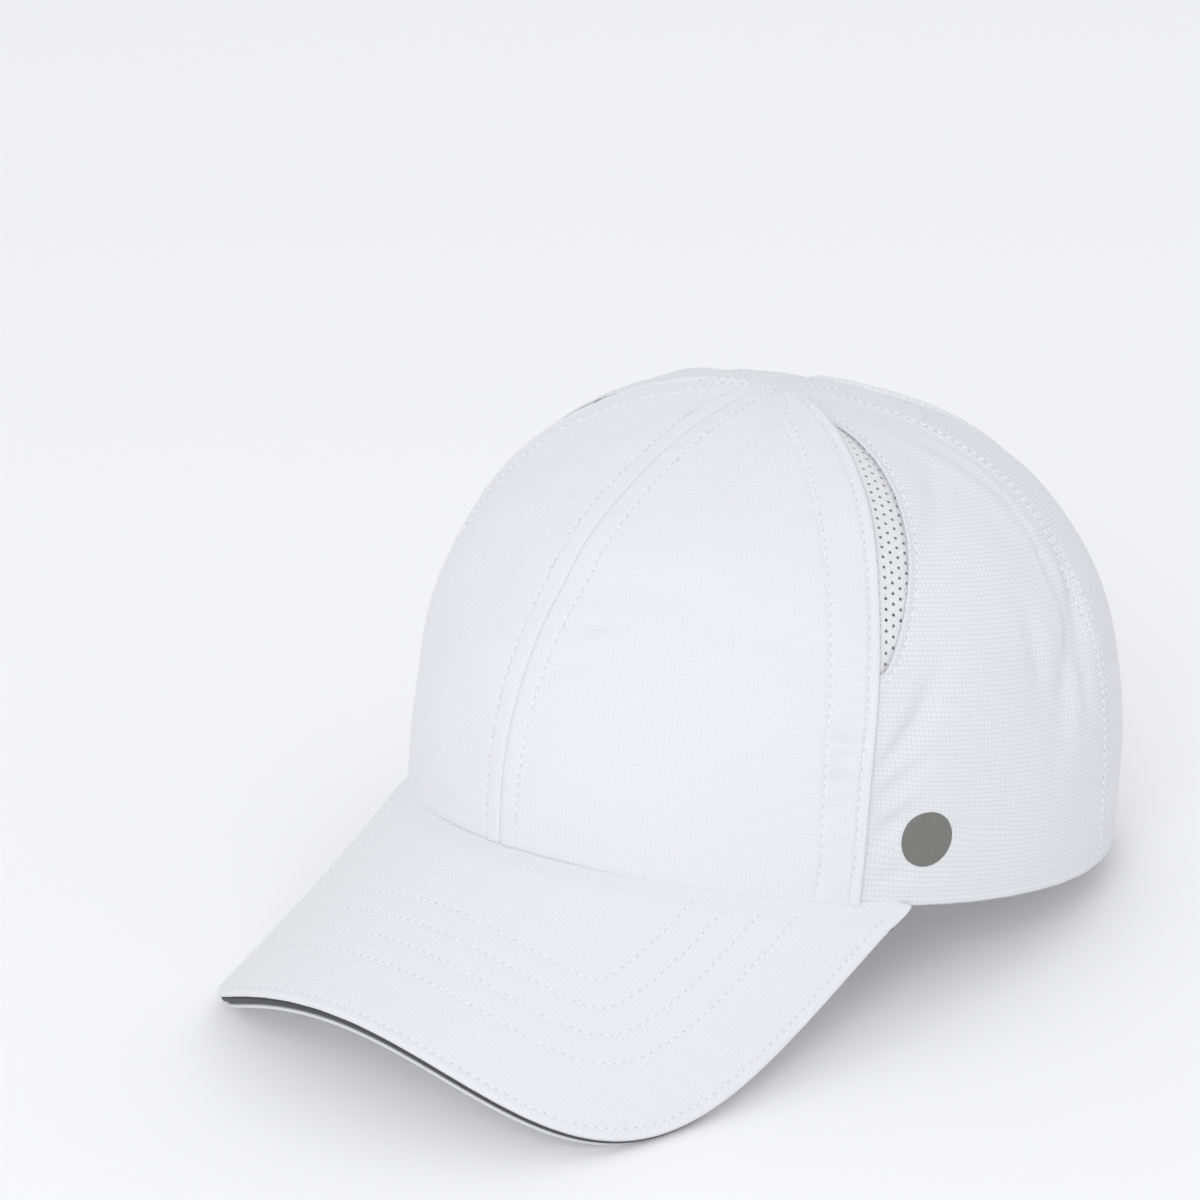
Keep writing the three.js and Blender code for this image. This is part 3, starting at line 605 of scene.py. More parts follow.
def side_relief(angle, height):
    wide = millimetres_round(angle, height)
    vent = vent_width(height)
    from_front = (np.abs(angle) - front_seam(height)) * wide - vent
    from_back = (back_seam(height) - np.abs(angle)) * wide
    above_rim = height * crown_slope_length
    side = np.where(angle > 0, 1.4, 4.2)
    open_edge = smooth(vent / 1.5)
    rolled = 0.36 * ridge(from_front, 0.7, 0.75) - 0.26 * ridge(from_front, turned_row, 0.5)
    rolled -= 0.50 * turned_down(from_front, 0.6)
    felled = 0.42 * raised(from_back, -1, felled_width, 1.1) - 0.18 * ridge(from_back, felled_row, 0.45)
    felled -= 0.62 * turned_down(from_back, 0.9)
    beside = smooth((height - 0.16) / 0.16) * smooth((0.86 - height) / 0.2)
    felled += beside * (0.42 * ridge(from_back, 8.8, 2.2) - 0.55 * ridge(from_back, 12.8, 2.6))
    felled += beside * 0.38 * ridge(from_back, 17.5, 3.0)
    felled += 0.06 * ridge(from_back, 0.6, 0.7) - 0.20 * ridge(from_back, felled_width - 0.8, 0.5)
    relief = rolled * open_edge - 0.05 * smooth(1 - from_front / 2.2) * (1 - open_edge)
    relief += felled * smooth(above_rim / 4 + 0.1)
    relief += 0.20 * gathers(above_rim, side) * fade(from_front - turned_row, 3.5)
    relief += 0.17 * gathers(above_rim, side + 2) * fade(from_back - felled_width, 3.0)
    relief -= 0.35 * turned_down(above_rim, 0.9) + 0.16 * ridge(above_rim, 1.9, 0.5)
    relief += 0.10 * gathers(np.abs(angle) * 86, side + 5) * np.exp(-above_rim / 3)
    relief = relief * near_top(height) + slack(angle, height)
    for crease in side_creases:
        relief -= side_crease_strength * stroke(angle, height, *crease)
    return relief


def side_face(angle, height):
    return on_crown(angle, height, cloth_half_wall + side_relief(angle, height))


side_columns = spaced((0, 0.07, 0.9, 1), (14, 52, 20))

for side, hand in (("left", 1), ("right", -1)):
    shares = side_columns if hand > 0 else 1 - side_columns[::-1]

    def side_panel(share, height, hand=hand):
        wide = millimetres_round(hand * front_seam(height), height)
        front = front_seam(height) + np.where(vent_width(height) > 0, vent_width(height) / wide, 0)
        front = front - 1.5 * smooth(1 - vent_width(height) / 1.5) * near_top(height) / wide
        rear = back_seam(height)
        start = front if hand > 0 else -rear
        end = rear if hand > 0 else -front
        return side_face(start + (end - start) * share, height)

    panel = lay_cloth(
        f"side_cloth_{side}", shares, panel_rows, side_panel, cloth_wall, crown_cloth,
        grain=hand * side_grain,
    )
    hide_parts(f"side_panel_{side}")

vent_heights = np.linspace(vent_bottom - 0.02, vent_top + 0.02, 150)
side_rows = []
for hand in (1, -1):
    wide = millimetres_round(hand * front_seam(vent_heights), vent_heights)
    turned_angle = front_seam(vent_heights) + (vent_width(vent_heights) + turned_row) / wide
    side_rows.append(stitch_row(side_face, hand * turned_angle, vent_heights))
    wide = millimetres_round(hand * back_seam(row_heights), row_heights)
    for distance in (felled_row, felled_width - 0.8):
        felled_angle = back_seam(row_heights) - np.minimum(distance / wide, 0.06)
        side_rows.append(stitch_row(side_face, hand * felled_angle, row_heights))
sew("side_stitching", side_rows)


# Side vents. A crescent of light knitted mesh with round holes, set under the folded edge of the
# front panel and the turned edge of the side panel.
hole_pitch_along = 2.6
hole_pitch_across = 1.9
hole_radius = 0.43
mesh_wall = 0.35
mesh_front_level = 0.38
mesh_rear_level = -0.16

vent_cloth = make_plain("vent_mesh", (0.79, 0.79, 0.81), 0.8)
emboss_with(vent_cloth, "TexVoronoi", "Distance", 1900, 0.0002)

seam_heights = np.linspace(vent_bottom - 0.03, vent_top + 0.03, 200)
seam_run = run_along(crown_skin(front_seam(seam_heights), seam_heights))

for side, hand in (("left", 1), ("right", -1)):
    knit = bmesh.new()
    columns = int(vent_width_at_middle / hole_pitch_across) + 4
    rows = int(seam_run[-1] / hole_pitch_along) + 1
    for column in range(columns):
        for row in range(rows):
            across = (column - 1) * hole_pitch_across
            along = (row + 0.5 * (column % 2)) * hole_pitch_along
            height = np.interp(along, seam_run, seam_heights)
            if not -2.5 < across < vent_width(height) + 1.6:
                continue
            centre = Matrix.Translation((across, along, 0))
            hole = bmesh.ops.create_circle(knit, segments=16, radius=hole_radius, matrix=centre)["verts"]
            rim = bmesh.ops.create_circle(knit, segments=16, radius=1, matrix=centre)["verts"]
            for vertex in rim:
                away = vertex.co - centre.translation
                away /= max(abs(away.x), abs(away.y))
                vertex.co.x = across + round(2 * away.x) * hole_pitch_across / 4
                vertex.co.y = along + round(2 * away.y) * hole_pitch_along / 4
            loops = {edge for vertex in hole + rim for edge in vertex.link_edges}
            bmesh.ops.bridge_loops(knit, edges=list(loops))
    bmesh.ops.remove_doubles(knit, verts=knit.verts, dist=0.02)
    flat = np.array([v.co[:] for v in knit.verts])
    height = np.interp(flat[:, 1], seam_run, seam_heights)
    angle = front_seam(height) + flat[:, 0] / millimetres_round(front_seam(height), height)
    behind = np.clip(flat[:, 0] / np.maximum(vent_width(height), 1), 0, 1)
    level = mesh_front_level + (mesh_rear_level - mesh_front_level) * behind
    laid = on_crown(hand * angle, height, level)
    for vertex, point in zip(knit.verts, laid):
        vertex.co = point
    bmesh.ops.recalc_face_normals(knit, faces=knit.faces)
    knit.faces.ensure_lookup_table()
    outward = knit.faces[0].calc_center_median() - Vector((0, 0.02, 0.05))
    if knit.faces[0].normal.dot(outward) < 0:
        bmesh.ops.reverse_faces(knit, faces=knit.faces)
    vent = dress(f"vent_knit_{side}", knit, [vent_cloth], mesh_wall)
    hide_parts(f"mesh_vent_{side}")


# Back panels. They part round a tall teardrop opening for a ponytail. Below it the left one ends in
# a short tail, and the right one in a tab that lies over it and closes with hook-and-loop tape.
opening_half_width = 28
opening_bottom = 0.23
opening_top = 0.818
tab_reach = 35
tail_reach = 18
tab_top = 0.085
over_offset = 4.6
back_grain = math.radians(138)


def free_edge_x(height, hand, reach):
    share = np.clip((height - opening_bottom) / (opening_top - opening_bottom), 0, 1)
    roundness = 0.9 + (0.5 - 0.9) * share
    half = opening_half_width * np.maximum(np.sin(np.pi * share**0.92), 0) ** roundness
    below = np.clip((height - tab_top) / (opening_bottom - tab_top), 0, 1)
    passed = reach * (1 - below ** (1 / 1.5))
    crest = np.where(height < opening_top, half, 0)
    return np.where(height < opening_bottom, -hand * passed, hand * crest)


def find_between(low, high, short_of_it):
    """Halves the way between two bounds until they meet where short_of_it stops being true."""
    for _ in range(36):
        halfway = (low + high) / 2
        short = short_of_it(halfway)
        low = np.where(short, halfway, low)
        high = np.where(short, high, halfway)
    return (low + high) / 2


def angle_at_x(x, height):
    wearers_left = np.full(np.shape(height), np.pi / 2)
    return find_between(wearers_left, 3 * wearers_left, lambda turn: crown_skin(turn, height)[..., 0] > x)


def free_edge_angle(height, hand):
    reach = tail_reach if hand > 0 else tab_reach
    return angle_at_x(free_edge_x(height, hand, reach), height)


def over_lift(angle, height):
    x = crown_skin(angle, height)[..., 0]
    return over_offset * smooth((x + 66) / 40) * (1 - smooth((height - 0.27) / 0.3))


back_row = 6.6
under_side = 0.68
tucked_under = 2.2
hem_row = 1.9
tab_end_row = 3.4
pad_row_start = 31.5
pad_row_end = -14.0
pad_row_low = 3.0
pad_row_high = 14.4

back_creases = (
    (141.0, 0.230, 60, 14.0, 3.6, 0.50),
    (152.0, 0.160, 25, 12.0, 3.0, 0.45),
    (128.0, 0.420, 80, 18.0, 4.0, 0.40),
    (-140.0, 0.200, 120, 15.0, 3.8, 0.50),
    (-150.0, 0.120, 160, 14.0, 2.8, 0.45),
    (-126.0, 0.400, 95, 18.0, 4.0, 0.40),
)


def above_rim_of(angle, height):
    return crown_skin(angle, height)[..., 2] - crown_skin(angle, 0 * height)[..., 2]


def back_relief(angle, height, hand):
    wide = millimetres_round(angle, height)
    turn = np.abs((angle + np.pi) % (2 * np.pi) - np.pi)
    from_side = (turn - back_seam(height)) * wide
    from_centre = (np.pi - turn) * wide
    above_rim = above_rim_of(angle, height)
    climb = height * crown_slope_length
    above_opening = smooth((height - opening_top) / 0.03)
    row_at_crest = np.minimum(back_row, 0.3 * (np.pi - back_seam(height)) * wide)
    centre = -0.45 * ridge(from_centre, 0, 0.7) + 0.34 * raised(from_centre, 0.2, row_at_crest, 1.1)
    centre -= 0.22 * ridge(from_centre, row_at_crest, 0.5)
    x = crown_skin(angle, height)[..., 0]
    relief = 0.18 * gathers(climb, hand + 1) * fade(from_side, 4) + centre * above_opening
    relief -= 0.35 * turned_down(above_rim, 0.9) + 0.20 * ridge(above_rim, hem_row, 0.5)
    relief += 0.11 * gathers(x, hand + 5) * fade(above_rim - hem_row, 3)
    if hand < 0:
        inside = raised(x, pad_row_end - 1, pad_row_start + 1) * raised(above_rim, pad_row_low, pad_row_high)
        relief += 0.10 * gathers(x, 9) * inside * fade(above_rim - pad_row_high, 3)
        between_ends = raised(x, pad_row_end - 2, pad_row_start + 2, 2)
        between_rows = raised(above_rim, pad_row_low - 2, pad_row_high + 2, 2)
        for at in (pad_row_low, pad_row_high):
            relief -= 0.24 * ridge(above_rim, at, 0.5) * between_ends
        for at in (pad_row_end, pad_row_start):
            relief -= 0.24 * ridge(x, at, 0.5) * between_rows
        relief -= 0.2 * ridge(x, tab_reach - tab_end_row, 1) * smooth((24 - above_rim) / 3)
        relief += 0.22 * gathers(above_rim * 1.4, 4) * ridge(x, tab_reach, 5)
    relief = relief * near_top(height) + slack(turn * np.sign(np.sin(angle)), height)
    for crease in back_creases:
        relief -= stroke(angle, height, *crease)
    return relief - under_side * smooth(1 - (from_side + 0.6) / 1.6)


def back_face_left(angle, height):
    return on_crown(angle, height, cloth_half_wall + back_relief(angle, height, 1))


def back_face_right(angle, height):
    lift = over_lift(angle, height)
    return on_crown(angle, height, lift + cloth_half_wall + back_relief(angle, height, -1))


back_rows = spaced(
    (0, 0.004, tab_top, opening_bottom, opening_top, 0.93, panel_top), (5, 40, 28, 78, 16, 12)
)
back_columns = spaced((0, 0.06, 0.62, 1), (10, 36, 70))


def tuck_turn(height):
    return np.minimum(tucked_under / millimetres_round(back_seam(height), height), 0.04)


def back_panel_left(share, height):
    start = back_seam(height) - tuck_turn(height)
    return back_face_left(start + (free_edge_angle(height, 1) - start) * share, height)


def back_panel_right(share, height):
    end = 2 * np.pi - back_seam(height) + tuck_turn(height)
    start = free_edge_angle(height, -1)
    return back_face_right(start + (end - start) * share, height)


left_back = lay_cloth(
    "back_cloth_left", back_columns, back_rows, back_panel_left, cloth_wall, crown_cloth,
    grain=back_grain,
)
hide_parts("back_panel_left")
right_back = lay_cloth(
    "back_cloth_right", 1 - back_columns[::-1], back_rows, back_panel_right, cloth_wall, crown_cloth,
    grain=2 * math.pi - back_grain,
)
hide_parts("back_panel_right")


def height_above_rim(angle, lift):
    rim = np.zeros(np.shape(angle))
    return find_between(rim, rim + 1, lambda height: above_rim_of(angle, height) < lift)


def row_at(x, lift):
    """Angles and heights of a row through places given by x and the distance above the back rim."""
    angle = angle_at_x(x, 0 * x + 0.04)
    height = height_above_rim(angle, lift)
    angle = angle_at_x(x, height)
    return angle, height


xs = np.linspace(pad_row_end, pad_row_start, 60)
lifts = np.linspace(pad_row_low, pad_row_high, 30)
end_lifts = np.linspace(1.5, 20, 40)
crest = np.linspace(opening_top + 0.035, 0.975, 40)
round_at_crest = millimetres_round(np.pi + 0 * crest, crest)
row_at_crest = np.minimum(back_row, 0.3 * (np.pi - back_seam(crest)) * round_at_crest)
tab_rows = [
    stitch_row(back_face_right, *row_at(x, lift))
    for x, lift in (
        (xs, pad_row_low + 0 * xs),
        (xs, pad_row_high + 0 * xs),
        (pad_row_end + 0 * lifts, lifts),
        (pad_row_start + 0 * lifts, lifts),
        (tab_reach - tab_end_row + 0.9 + 0 * end_lifts, end_lifts),
    )
]
for hand, face, start, end in ((1, back_face_left, 110, 164), (-1, back_face_right, 196, 250)):
    tab_rows.append(stitch_row(face, np.pi - hand * row_at_crest / round_at_crest, crest))
    angle = np.radians(np.linspace(start, end, 160))
    tab_rows.append(stitch_row(face, angle, height_above_rim(angle, hem_row + 0 * angle)))
sew("back_stitching", tab_rows)


# Binding of the opening. One length of smooth tape, folded over the free edges from the tail, up
# round the teardrop and down along the top of the tab, and stitched through.
binding_width = 6.0
binding_stand = 1.35
binding_fold = 0.42
binding_row = 0.78

binding_tape = weave_cloth("binding_tape", (0.83, 0.83, 0.86), (0.78, 0.78, 0.81), 0.00003, 0.5)

shares_up = np.linspace(0, 1, 120)
edge_heights = opening_bottom + (opening_top - opening_bottom) * shares_up * (2 - shares_up)
cross_heights = np.linspace(tab_top, opening_bottom, 26)[:-1]
rising = np.concatenate([cross_heights, edge_heights])
falling = rising[::-1][1:]
stop_heights = np.concatenate([rising, falling])
stop_hands = np.concatenate([np.ones(len(rising)), -np.ones(len(falling))])
stop_angles = np.where(
    stop_hands > 0, free_edge_angle(stop_heights, 1), free_edge_angle(stop_heights, -1)
)
stop_angles[len(rising) - 1] = np.pi


def binding_lift(angle, height, hands):
    return np.where(hands > 0, 0, over_lift(angle, height))


edge_line = crown_point(stop_angles, stop_heights, binding_lift(stop_angles, stop_heights, stop_hands))
edge_along = np.gradient(edge_line, axis=0)
edge_run = run_along(edge_line)


def binding_face(along, around):
    """along: 0 to 1 down the tape. around: -1 at its inner edge, 0 at the fold, 1 at its outer edge."""
    run = along * edge_run[-1]
    height = np.interp(run, edge_run, stop_heights)
    angle = np.interp(run, edge_run, stop_angles)
    hands = np.where(run <= edge_run[len(rising) - 1], 1, -1)
    forward = points_at(run, edge_run, edge_along)
    per_angle, per_height = crown_slopes(angle, height)
    outward = unit(np.cross(per_angle, per_height))
    inward = unit(np.cross(outward, forward))
    turn = np.clip(np.abs(around) / binding_fold, 0, 1)
    flat = np.clip((np.abs(around) - binding_fold) / (1 - binding_fold), 0, 1)
    uneven = 0.34 * gathers(run, 2) * (0.4 + 0.6 * flat)
    distance = 1.9 * (1 - np.cos(turn * np.pi / 2)) - 1.5
    distance += flat * (binding_width - 0.4) + 0.5 * uneven * flat
    stand = binding_stand * np.sin(turn * np.pi / 2) + 0.25 * np.sin(np.pi * flat) - 1.15 * flat**3
    stand = stand - 0.22 * ridge(flat, binding_row, 0.07) + 0.35 * uneven * flat
    level = np.sign(around) * (stand + 0.45 * turn)
    aa = np.sum(per_angle * per_angle, axis=-1)
    ah = np.sum(per_angle * per_height, axis=-1)
    hh = np.sum(per_height * per_height, axis=-1)
    da = np.sum(per_angle * inward, axis=-1) * distance
    dh = np.sum(per_height * inward, axis=-1) * distance
    scale = aa * hh - ah * ah
    angle = angle + (da * hh - dh * ah) / scale
    height = height + (dh * aa - da * ah) / scale
    return on_crown(angle, height, level + binding_lift(angle, height, hands))


around = spaced((-1, -binding_fold, 0, binding_fold, 1), (9, 5, 5, 12))
binding = lay_cloth(
    "binding_cloth", np.linspace(0, 1, 420), around, binding_face, 0.45, binding_tape
)
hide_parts("opening_binding")
along = np.linspace(0.02, 0.985, 600)
row_around = binding_fold + (1 - binding_fold) * binding_row
sew("binding_stitching", [stitch_row(binding_face, along, 0 * along + row_around)])


# Closure. A strip of loop tape sewn to the left panel's tail, and a strip of hook tape sewn inside the
# tab. Both are woven nylon with a dense pile, and lie pressed on each other.
pad_length = 44
pad_from_tab_end = 5
pad_low = 2.5
pad_tall = 11.5
tape_thickness = 1.2
loop_level = 2.25
hook_level = 3.5

pile = make_plain("hook_and_loop", (0.80, 0.80, 0.81), 0.95)
emboss_with(pile, "TexNoise", "Fac", 2600, 0.0004)

for name, level in (("loop_tape", loop_level), ("hook_tape", hook_level)):

    def tape_strip(share, up, level=level):
        x = tab_reach - pad_from_tab_end - pad_length * share
        round_edge = 0.3 * (1 - smooth(np.minimum(share, 1 - share) * pad_length / 0.8))
        round_edge = round_edge + 0.3 * (1 - smooth(np.minimum(up, 1 - up) * pad_tall / 0.8))
        tufts = 0.06 * np.sin(41 * share + 3 * up) + 0.05 * np.sin(17 * up - 29 * share)
        angle, height = row_at(x, pad_low + pad_tall * up)
        return on_crown(angle, height, level - round_edge + tufts)

    lay_cloth(
            name, spaced((0, 0.03, 0.97, 1), (4, 44, 4)), spaced((0, 0.08, 0.92, 1), (4, 12, 4)), tape_strip,
            tape_thickness, pile,
        )
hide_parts("closure_pad")


# Label. A folded ivory ribbon with rounded outer corners, caught in the seam at the end of the tab.
label_length = 10.0
label_low = 2.5
label_tall = 14.0
label_round = 3.0

label_cloth = weave_cloth("label_ribbon", (0.86, 0.835, 0.775), (0.80, 0.77, 0.70), 0.00004, 0.42)


def label_face(out, up):
    corner = np.clip((out * label_length - (label_length - label_round)) / label_round, 0, 1)
    narrow = label_round * (1 - np.sqrt(1 - corner**2)) / label_tall
    up = narrow + (1 - 2 * narrow) * up
    x = tab_reach - 1.5 + out * (label_length + 1.5)
    angle, height = row_at(x, label_low + label_tall * up)
    swell = 0.35 * np.sin(np.pi * np.clip(out, 0, 1)) + 0.4 * out**2 + 0.2 * np.sin(5 * up + 1) * out
    return on_crown(angle, height, over_offset + 0.5 + swell)


label = lay_cloth(
    "label_ribbon", np.linspace(1, 0, 30), np.linspace(0, 1, 30), label_face, 0.8, label_cloth
)
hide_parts("tab_label")


# Sweatband. A soft knitted band, open at the back under the closure, sewn to the rim and left loose
# along its slightly wavy top edge. The front seam's tape runs down to it.
band_height = 30
band_back_gap = 42
band_offset = -1.1

band_knit = weave_cloth("sweatband_knit", (0.80, 0.80, 0.80), (0.68, 0.68, 0.68), 0.00015, 1.5)
band_end = np.pi - math.asin(band_back_gap / 2 / crown_back_reach)


def band_face(angle, up):
    wave = 0.7 * np.sin(11 * angle + 0.8) + 0.4 * np.sin(23 * angle)
    lift = up * (band_height + wave * up)
    height = height_above_rim(angle, lift)
    loose = 0.5 * np.sin(np.pi * up) ** 2 + (0.7 * np.sin(17 * angle) + 0.9) * up**3
    roll = 0.5 * ridge(up, 0.93, 0.02) - 0.5 * turned_down((1 - up) * band_height, 1.2)
    return on_crown(angle, height, band_offset - 1.2 - loose + roll)


band = lay_cloth(
    "sweatband_knit", np.linspace(band_end, -band_end, 300), spaced((0, 0.85, 1), (16, 14)), band_face, 0.9,
    band_knit,
)
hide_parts("sweatband")

tape_half = 4.75


def tape_face(across, height):
    angle = across * tape_half / millimetres_round(0 * height, height)
    crown = 0.25 * (1 - across**2) - 0.35 * ridge(np.abs(across), 0.8, 0.08)
    return on_crown(angle, height, -0.45 - crown)


tape_start = float(height_above_rim(np.array(0.0), 30.3))
tape = lay_cloth(
    "seam_tape", np.linspace(1, -1, 31), np.linspace(tape_start - 0.05, 0.93, 100), tape_face, 0.4,
    binding_tape,
)
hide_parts("front_seam_tape")


# Badge. A thin round of dark grey reflective film, pressed on to the left side panel.
badge_angle = math.radians(65)
badge_height = 18.3
badge_radius = 7.0
badge_rise = 0.28

badge_film = make_plain("badge_film", (0.165, 0.165, 0.155), 0.42)
badge_grain = emboss_with(badge_film, "TexNoise", "Fac", 3500, 0.00005, 0.4)
badge_shades = {"A": (0.13, 0.13, 0.122, 1), "B": (0.215, 0.215, 0.20, 1), "Factor": badge_grain}
badge_tint = add_node(badge_film, "Mix", badge_shades, data_type="RGBA")
feed_shader(badge_film, {"Base Color": badge_tint.outputs["Result"]})

at_badge = np.array(badge_angle)
centre_height = height_above_rim(at_badge, badge_height - crown_skin(at_badge, np.array(0.0))[2])
per_angle, per_height = crown_slopes(at_badge, centre_height)
disc = bmesh.new()
bmesh.ops.create_circle(disc, cap_ends=True, cap_tris=False, segments=64, radius=badge_radius)
bmesh.ops.inset_individual(disc, faces=disc.faces, thickness=0.35)
for _ in range(5):
    inner = [face_of for face_of in disc.faces if len(face_of.verts) > 4]
    bmesh.ops.inset_individual(disc, faces=inner, thickness=1.2)
round_unit = unit(per_angle)
up_unit = unit(np.cross(np.cross(per_angle, per_height), per_angle))
flat = np.array([v.co[:2] for v in disc.verts])
spot = round_unit * flat[:, :1] + up_unit * flat[:, 1:2]
angle = badge_angle + flat[:, 0] / np.linalg.norm(per_angle)
centre = crown_skin(at_badge, centre_height)
height = height_above_rim(angle, centre[2] + spot[:, 2] - crown_skin(angle, 0 * angle)[:, 2])
angle = angle - ((crown_skin(angle, height) - centre - spot) @ round_unit) / np.linalg.norm(per_angle)
at_rim = np.clip((np.linalg.norm(flat, axis=1) - badge_radius + 0.4) / 0.4, 0, 1)
level = cloth_half_wall + side_relief(angle, height) + badge_rise - 0.2 * at_rim
for vertex, point in zip(disc.verts, on_crown(angle, height, level)):
    vertex.co = point
for face_of in disc.faces:
    face_of.smooth = True
badge = dress("badge_disc", disc, [badge_film], 0.3)
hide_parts("side_badge")


# Brim. A stiff board between two covers of the same cloth, bent down at both sides into a high arch.
# Rows of stitches run round it parallel to its edge, and one more close to the edge itself.
brim_end_angle = 63.8
brim_reach = 53.5
brim_half_width = 78.8
brim_end_width = 2.1
brim_side_pinch = 12
brim_slope = 0.645
brim_upturn = 0.00107
brim_arch_drop = 58.1
brim_arch_half_span = 83.6
brim_arch_power = 2.127
brim_top_above_rim = 1.2
brim_seat_length = 8
upper_wall = 1.6
trim_wall = 1.0
lower_wall = 1.2
layer_clearance = 0.4
brim_rows = (17.8, 24.5, 31.1, 37.8)
brim_edge_row = 2.7
brim_tuck = 1.2
brim_seam_allowance = 1.4
row_end_margin = 2.2


def brim_height(x, y):
    ahead = -(y + crown_front_reach)
    arch = brim_arch_drop * (np.abs(x) / brim_arch_half_span) ** brim_arch_power
    return front_rim_lift - brim_slope * ahead + brim_upturn * ahead * ahead - arch


def brim_outer_edge(share):
    end = crown_skin(np.radians(brim_end_angle), np.array(0.0))
    turn = np.pi / 2 * (1 - (1 - np.abs(share)) ** 2)
    forward = np.maximum(np.cos(turn), 0) ** (2 / 4.06)
    half = end[0] + brim_end_width + (brim_half_width - end[0] - brim_end_width) * forward
    pinch = brim_side_pinch * forward * (1 - forward)
    x = np.sign(share) * (half * np.sin(turn) ** (2 / 2.33) - pinch)
    y = end[1] - (crown_front_reach + brim_reach + end[1]) * forward
    return x, y


def brim_skin(share, out):
    edge_x, edge_y = brim_outer_edge(share)
    rim = crown_point(share * np.radians(brim_end_angle), 0 * share, 0 * share + 1.5)
    x = rim[..., 0] + (edge_x - rim[..., 0]) * out
    y = rim[..., 1] + (edge_y - rim[..., 1]) * out
    seat = (rim[..., 2] - brim_height(rim[..., 0], rim[..., 1])) * np.maximum(0, 1 - out) ** 2
    return np.stack([x, y, brim_height(x, y) + seat + brim_top_above_rim], axis=-1)


def brim_length(share):
    return np.linalg.norm(brim_skin(share, 0 * share) - brim_skin(share, 0 * share + 1), axis=-1)


def brim_point(share, out, offset):
    nudge = 1e-4
    safe = np.clip(share, -1 + 2 * nudge, 1 - 2 * nudge)
    across = brim_skin(safe + nudge, out) - brim_skin(safe - nudge, out)
    outward = brim_skin(safe, out + nudge) - brim_skin(safe, out - nudge)
    free = unit(np.cross(outward, across))
    wall = unit(crown_slopes(share * np.radians(brim_end_angle), 0 * share)[1])
    away = smooth(out * brim_length(share) / brim_seat_length)[..., None]
    direction = unit(wall * (1 - away) + free * away)
    return brim_skin(share, out) + direction * np.asarray(offset)[..., None]


edge_shares = np.linspace(-1, 1, 361)
edge_samples = brim_skin(edge_shares, 0 * edge_shares + 1)


def from_brim_edge(share, out):
    """Distance from the brim's edge, over the cloth, in millimetres."""
    points = brim_skin(share, out).reshape(-1, 3)
    nearest = np.empty(len(points))
    for start in range(0, len(points), 4000):
        part = points[start : start + 4000]
        gaps = ((part[:, None] - edge_samples[None]) ** 2).sum(axis=2)
        at = np.clip(gaps.argmin(axis=1), 1, len(edge_samples) - 2)
        along = edge_samples[at + 1] - edge_samples[at - 1]
        away = part - edge_samples[at]
        passed = (away * along).sum(axis=1) / (along * along).sum(axis=1)
        nearest[start : start + 4000] = np.linalg.norm(away - passed[:, None] * along, axis=1)
    return nearest.reshape(np.shape(share))


arch_x = np.linspace(0, 90, 200)
arch_slope = brim_arch_drop * brim_arch_power / brim_arch_half_span * (arch_x / brim_arch_half_span) ** (
    brim_arch_power - 1
)
arch_steps = np.diff(arch_x) * np.sqrt(1 + ((arch_slope[1:] + arch_slope[:-1]) / 2) ** 2)
arch_run = np.concatenate([[0], np.cumsum(arch_steps)])


def brim_grain(share, out):
    points = brim_skin(share, out)
    run = np.sign(points[:, 0]) * np.interp(np.abs(points[:, 0]), arch_x, arch_run)
    return np.stack([run, -points[:, 1] * math.hypot(1, brim_slope)], axis=1)


def upper_face(share, out):
    inside = from_brim_edge(share, out)
    run = share * 190
    relief = 0.14 * raised(inside, -1, brim_edge_row) - quarter_round(inside, 1.1)
    relief -= 0.20 * ridge(inside, brim_edge_row, 0.5)
    relief += 0.08 * gathers(run, 3) * fade(inside - brim_edge_row - 1, 2.2)
    for number, row in enumerate(brim_rows):
        relief -= 0.20 * ridge(inside, row, 0.55)
        relief += 0.07 * gathers(run, number + 4) * fade(inside - row, 2.4)
    relief *= smooth((1 - np.abs(share)) / 0.06)
    tucked = brim_tuck * (1 - smooth(out * brim_length(share) / brim_seat_length))
    tucked = tucked * smooth((1 - np.abs(share)) / 0.12)
    out = out - (1 - out) * brim_seam_allowance / brim_length(share)
    return set_down(brim_point(share, out, relief - tucked))


cover_end = 0.98
under_cover_share = 0.955
stitch_row_end = 0.97
brim_columns = np.linspace(-cover_end, cover_end, 301)
brim_rows_out = spaced((0, 0.88, 0.975, 1), (64, 12, 7))
upper_cloth = weave_cloth("brim_cloth", (0.79, 0.79, 0.82), (0.757, 0.758, 0.79), 0.00003)
upper = lay_cloth(
    "brim_top_cover", -brim_columns, brim_rows_out, upper_face, upper_wall - 0.1, upper_cloth,
    grain=brim_grain,
)
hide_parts("brim_upper")


def lower_level(share, out):
    from_edge = (1 - out) * brim_length(share)
    closing = smooth((from_edge - 14) / 14)
    trim_top = -upper_wall - layer_clearance
    open_level = trim_top - trim_wall - layer_clearance
    return open_level + (trim_top - open_level) * closing


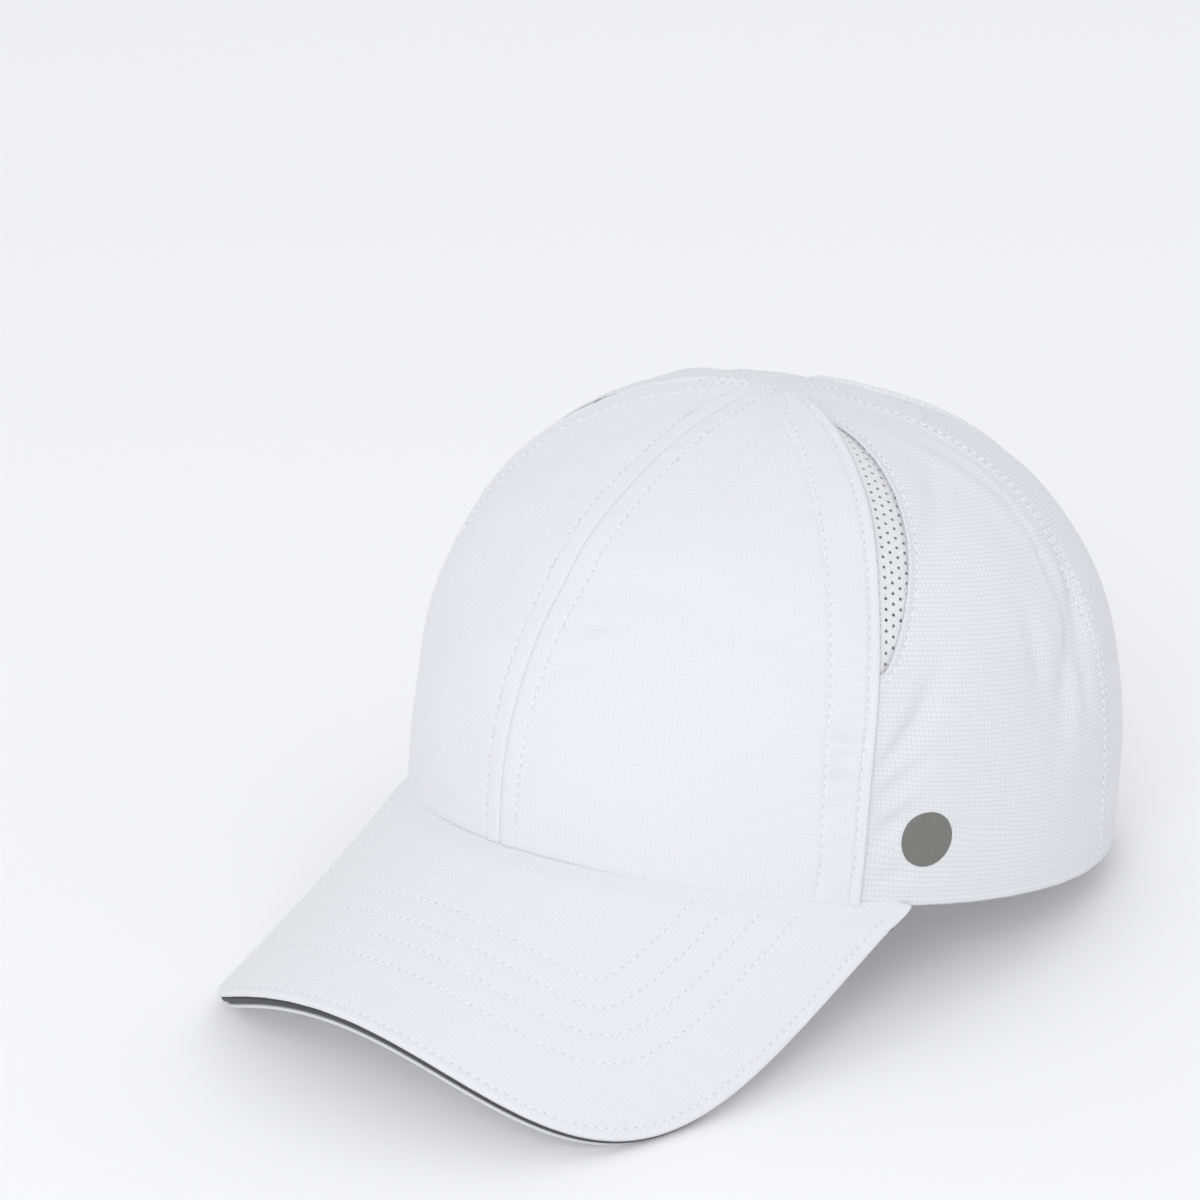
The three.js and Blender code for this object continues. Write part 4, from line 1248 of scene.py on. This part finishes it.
def lower_face(share, out):
    inside = from_brim_edge(share, out)
    relief = 0.6 * quarter_round(inside, 0.8) + 0.18 * ridge(inside, brim_edge_row, 0.5)
    for row in brim_rows:
        relief += 0.15 * ridge(inside, row, 0.6)
    return set_down(brim_point(share, out, lower_level(share, out) - lower_wall + relief))


lower = lay_cloth(
    "brim_under_cover", brim_columns[::2] * under_cover_share, brim_rows_out, lower_face, lower_wall - 0.2,
    upper_cloth, grain=brim_grain,
)
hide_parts("brim_lower")


def brim_stitch_row(face, distance, turn):
    shares = np.linspace(-stitch_row_end, stitch_row_end, 500)
    outs = np.linspace(0.01, 0.995, 120)
    table = from_brim_edge(*np.meshgrid(shares, outs, indexing="ij"))
    reached = table[:, 0] > distance + row_end_margin
    shares = shares[reached]
    found = np.array([np.interp(-distance, -line, outs) for line in table[reached]])
    points, outward = stitch_row(face, shares, found)
    return points, outward * turn


top_rows = [brim_stitch_row(upper_face, row, -1) for row in (brim_edge_row, *brim_rows)]
under_rows = [brim_stitch_row(lower_face, row, 1) for row in (brim_edge_row, *brim_rows)]
sew("brim_stitching", top_rows)
sew("under_brim_stitching", under_rows)


# Trim of the brim. A dark grey piping between the two covers, which shows as a fine line at the edge.
trim_width = 9
trim_proud = -0.3
trim_end = 0.944
trim_fold = 0.4

trim_cloth = weave_cloth("brim_trim", (0.085, 0.085, 0.09), (0.05, 0.05, 0.055), 0.00005, 0.6)


def trim_face(share, around):
    """around: -1 at the lower inner edge, 0 at the outer fold, 1 at the upper inner edge."""
    length = brim_length(share)
    fold = np.clip(np.abs(around) / trim_fold, 0, 1)
    flat = np.clip((np.abs(around) - trim_fold) / (1 - trim_fold), 0, 1)
    back = 0.7 * (1 - np.cos(fold * np.pi / 2)) + flat * (trim_width - 0.7)
    out = np.maximum(1 + (trim_proud - back) / length, 0.2)
    middle = -upper_wall - layer_clearance - trim_wall / 2 + 0.25
    half = trim_wall / 2 - 0.06
    return set_down(brim_point(share, out, middle + np.sign(around) * half * np.sin(fold * np.pi / 2)))


trim_shares = np.linspace(trim_end, -trim_end, 300)
trim = lay_cloth(
    "brim_piping", trim_shares, spaced((1, trim_fold, 0, -trim_fold, -1), (3, 6, 6, 3))[::-1], trim_face, 0.3,
    trim_cloth,
)
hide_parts("brim_trim")
